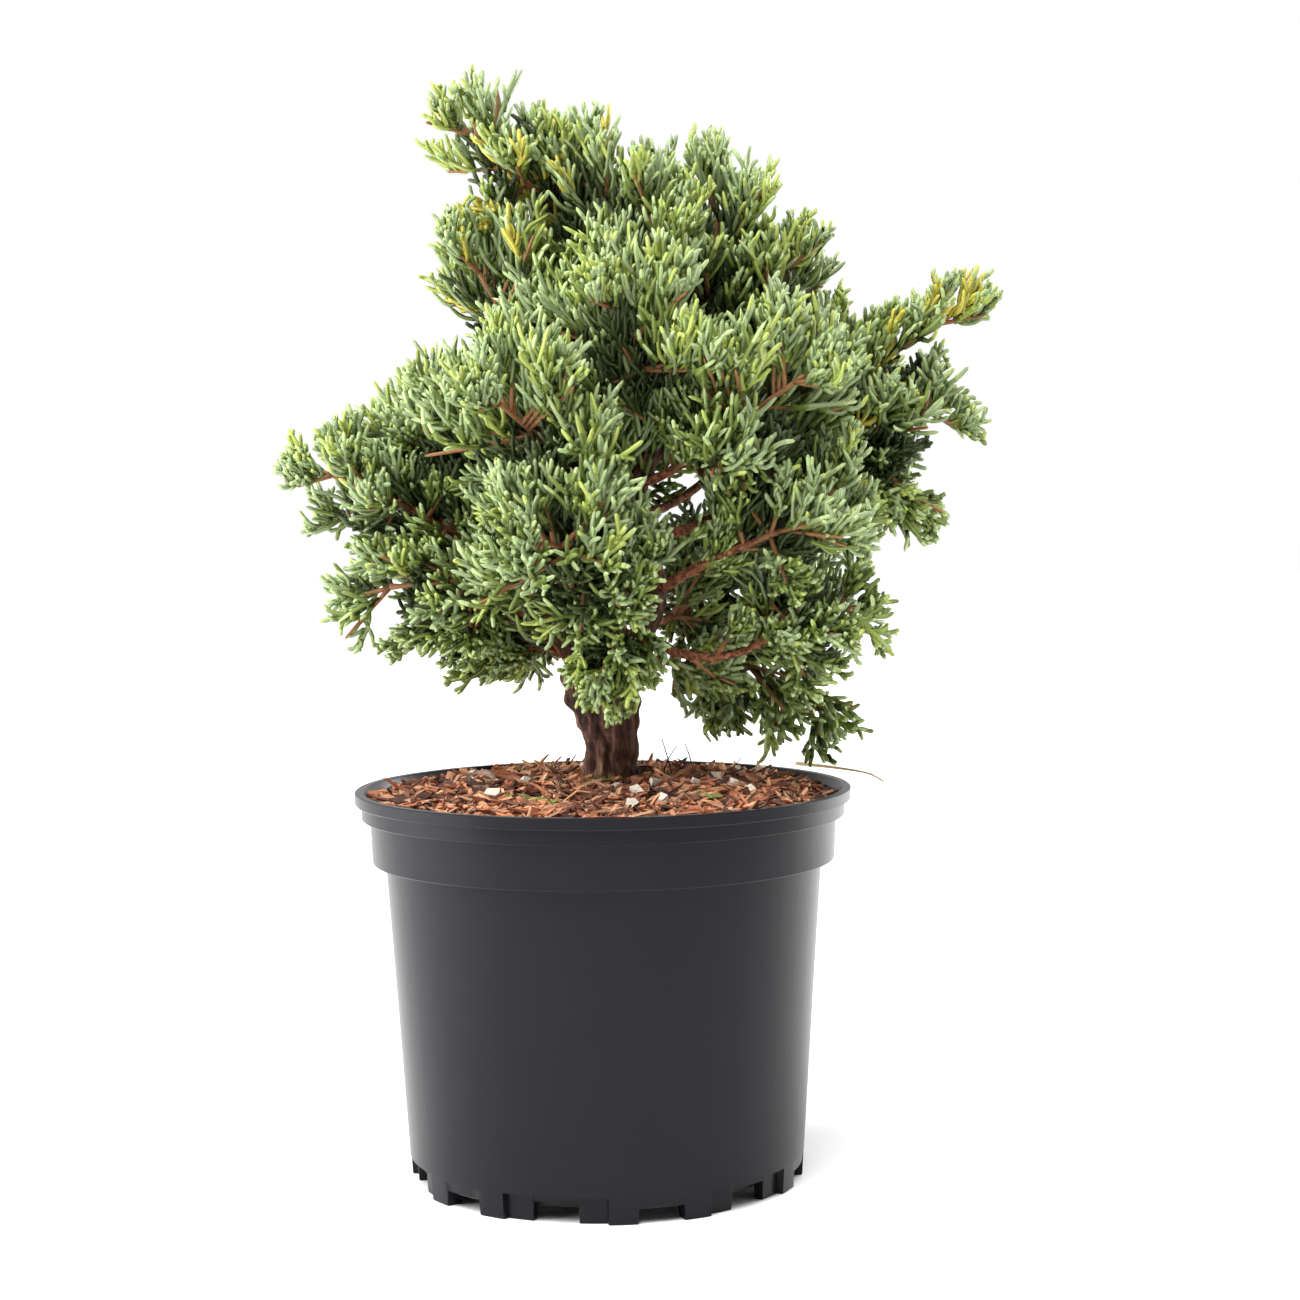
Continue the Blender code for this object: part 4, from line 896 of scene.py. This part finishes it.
def put_moss(draw):
    """Tufts of moss: short upright points, close together in round patches."""
    x, y, radius = np.repeat(np.array(MOSS_SPOTS, float), MOSS_TUFTS, 0).T
    angle, far = draw.uniform(0, 2 * math.pi, len(x)), np.sqrt(draw.uniform(0, 1, len(x)))
    x, y = (x + radius * far * np.cos(angle)) * MM, (y + radius * far * np.sin(angle)) * MM
    foot = np.stack([x, y, mound(x, y)], -1)
    aim = unit(draw.normal(0, 0.5, foot.shape) + (0, 0, 1))
    lengths = draw.uniform(*MOSS_LENGTHS, len(foot)) * MM
    put_litter("moss", branch(foot, aim, lengths, 0, 3), 0.7, 0.3, 3, MOSS)


for name, (route, per_span, rings, *form) in SINGLE_TUBES.items():
    put_litter(name, resample(smooth_route(route, per_span), rings)[None], *form)
put_rootlets(draw)
put_fallen(draw)
put_moss(draw)

# %% [markdown]
# ## Pot
# The container is one closed surface: a profile turned round the axis with many steps. Near its foot the
# wall's lower edge rises over each gap and drain slot, and half of each foot is set back.

# %% Pot
BODY_BOTTOM_RADIUS, FOOT_DEPTH, FLOOR_UNDERSIDE = 75.5 * MM, 6 * MM, 5 * MM
FOOT_COUNT, GAP_WIDTH, RECESS_DEPTH = 12, 17.5 * MM, 2.5 * MM
SHALLOW_GAP_TOP, DRAIN_SLOT_TOP = 5.6 * MM, 9.5 * MM
EDGE_ROUND = 0.4 * MM
STEP_TURN = 0.25 / 75  # radians over which the foot's edge steps from one level to the next
FOOT_PARTS, GAP_PARTS = (0.25, 0.5, 0.75), (0.2, 0.4, 0.6, 0.8)
PLASTIC_CREASE = math.radians(35)
UPPER_PROFILE = [
    (0, 7.5), (73.3, 7.5), (81.4, 122), (86.4, 124.5), (87.1, 138.8), (91.5, 149.6), (91.9, 150), (94.6, 150),
    (95, 149.7), (95, 145.9), (94.7, 145.5), (92.9, 145.4), (92.6, 145.1), (92.6, 140.1), (92.3, 139.8),
    (89.6, 139.7), (89.3, 139.4), (88.65, 123.4), (88.3, 123), (83.9, 122.9), (83.6, 122.6), (80.5, 77),
    (76.2, 11),
]


def foot_marks(pitch, half_gap):
    """Where the profile is repeated: in close pairs where the edge changes level, and evenly between."""
    marks = []
    for middle in np.arange(FOOT_COUNT) * pitch:
        start, gap_start = middle - pitch / 2 + half_gap, middle + pitch / 2 - half_gap
        gap_end = middle + pitch / 2 + half_gap
        for edge, before, parts in (
            (middle, start, FOOT_PARTS), (gap_start, middle, FOOT_PARTS), (gap_end, gap_start, GAP_PARTS)
        ):
            marks += [before + (edge - before) * part for part in parts]
            marks += [edge - STEP_TURN, edge + STEP_TURN]
    return np.array(marks)


def put_pot():
    """Turns the profile, with the foot's edge as a function of the bearing."""
    pitch = 2 * math.pi / FOOT_COUNT
    half_gap = math.asin(GAP_WIDTH / 2 / BODY_BOTTOM_RADIUS)
    bearing = foot_marks(pitch, half_gap)
    in_gap = np.abs(np.mod(bearing, pitch) - pitch / 2) < half_gap
    drains = np.mod(bearing, 2 * pitch) > pitch
    low = np.where(in_gap, np.where(drains, DRAIN_SLOT_TOP, SHALLOW_GAP_TOP), 0)
    nearest = np.round(bearing / pitch)
    side = bearing - nearest * pitch
    recessed = ~in_gap & np.where(nearest % 2 == 0, side < 0, side > 0)
    outer = BODY_BOTTOM_RADIUS - np.where(recessed | (in_gap & drains), RECESS_DEPTH, 0)
    inner = BODY_BOTTOM_RADIUS - FOOT_DEPTH
    rows = [(radius * MM, height * MM) for radius, height in UPPER_PROFILE[1:]] + [
        (BODY_BOTTOM_RADIUS + 0.65 * MM, DRAIN_SLOT_TOP + 0.5 * MM),
        (outer + 0.55 * MM, DRAIN_SLOT_TOP + 0.1 * MM),
        (outer, low + EDGE_ROUND),
        (outer - EDGE_ROUND, low),
        (inner, low),
        (inner - 0.3 * MM, FLOOR_UNDERSIDE),
    ]
    radius, height = (np.array([row[k] + np.zeros(len(bearing)) for row in rows]) for k in (0, 1))
    rings = np.stack([radius * np.sin(bearing), -radius * np.cos(bearing), height], -1)
    shell = closed_rings(rings, upward(UPPER_PROFILE[0][1] * MM), upward(FLOOR_UNDERSIDE))
    made = put("pot_shell", shell, [POT_PLASTIC], ["pot"])
    made.data.set_sharp_from_angle(angle=PLASTIC_CREASE)
    print("pot faces", len(made.data.polygons))


put_pot()

# %% [markdown]
# ## Camera and floor
# The camera stands where the photograph's stood, a metre in front of the pot and a little above its rim. Its
# place and its two directions come from a fit to the pot's rim and foot.

# %% Camera and floor
CAMERA_PLACE, CAMERA_LENS = (0, -1.0005, 0.2676), 72.44
LOOKING, RIGHTWARD = Vector((0.01855, 0.99771, -0.06507)), Vector((0.99976, -0.01930, -0.01088))
FLOOR_HALF = 6

camera = add("camera", bpy.data.cameras.new("camera"))
turned = Matrix((RIGHTWARD, RIGHTWARD.cross(LOOKING), -LOOKING)).transposed().to_4x4()
camera.matrix_world = Matrix.Translation(Vector(CAMERA_PLACE) + Vector(AXIS)) @ turned
camera.data.lens = CAMERA_LENS
camera.data.sensor_width = 36
camera.data.clip_start = 0.05
bpy.context.scene.camera = camera

floor_mesh = bpy.data.meshes.new("floor")
floor_corners = [(x * FLOOR_HALF, y * FLOOR_HALF, 0) for x, y in ((-1, -1), (1, -1), (1, 1), (-1, 1))]
floor_mesh.from_pydata(floor_corners, [], [(0, 1, 2, 3)])
floor = add("floor", floor_mesh)
floor_mesh.materials.append(principled("floor_white", (0.94, 0.94, 0.945), 0.9))
print("camera lens", round(camera.data.lens, 2))

# %% [markdown]
# ## Light
# A soft light from above and in front, one wide box at the left and one behind at the right, which the pot's
# sides reflect, an even light from overhead, and a world that is dim only in front.

# %% Light
WHITE, DIM, BRIGHT = (1, 1, 1, 1), (0.1, 0.1, 0.1, 1), (0.95, 0.95, 0.95, 1)
DIM_BELOW, BRIGHT_ABOVE = 0.12, 0.5  # of the way from straight in front to straight behind
BOX_LIGHTS = {
    "top": ((-0.5, -0.9, 2.2), (0, 0, 0.3), 1.4, 42),
    "left_box": ((-1.9, -0.2, 0.45), (0, 0, 0.12), 1.7, 66),
    "right_box": ((1.7, 1.3, 0.5), (0, 0, 0.15), 1.3, 52),
}
OVERHEAD_POWER, OVERHEAD_SPREAD, OVERHEAD_TILT = 2.3, 60, (18, -12, 0)


def add_light(name, kind, power):
    """A light of the given kind in the scene."""
    made = add(name, bpy.data.lights.new(name, kind))
    made.data.energy = power
    return made


def light_world():
    """White to the camera; as a source of light it is bright behind and beside, and dim in front."""
    world = bpy.data.worlds.new("world")
    world.use_nodes = True
    tree = world.node_tree
    seen, source = tree.nodes["Background"], node(tree, "Background", Strength=1.0)
    seen.inputs["Color"].default_value, seen.inputs["Strength"].default_value = WHITE, 1.0
    place, parts, ramp = node(tree, "TexCoord"), node(tree, "SeparateXYZ"), node(tree, "ValToRGB")
    for element, position, colour in zip(ramp.color_ramp.elements, (DIM_BELOW, BRIGHT_ABOVE), (DIM, BRIGHT)):
        element.position, element.color = position, colour
    half, path, choice = node(tree, "Math"), node(tree, "LightPath"), node(tree, "MixShader")
    half.operation = "MULTIPLY_ADD"
    half.inputs[1].default_value, half.inputs[2].default_value = 0.5, 0.5
    join(
        tree, (place, "Generated", parts, "Vector"), (parts, "Y", half, 0), (half, "Value", ramp, "Fac"),
        (ramp, "Color", source, "Color"), (path, "Is Camera Ray", choice, "Fac"),
        (source, "Background", choice, 1), (seen, "Background", choice, 2),
        (choice, "Shader", tree.nodes["World Output"], "Surface"),
    )
    bpy.context.scene.world = world


for name, (place, target, size, power) in BOX_LIGHTS.items():
    box = add_light(name, "AREA", power)
    box.data.size, box.location = size, place
    box.rotation_euler = (Vector(target) - Vector(place)).to_track_quat("-Z", "Y").to_euler()
overhead = add_light("even_light", "SUN", OVERHEAD_POWER)
overhead.data.angle = math.radians(OVERHEAD_SPREAD)
overhead.rotation_euler = [math.radians(angle) for angle in OVERHEAD_TILT]
light_world()
bpy.context.scene.view_settings.view_transform = "Standard"
print("lights", len(bpy.data.lights))
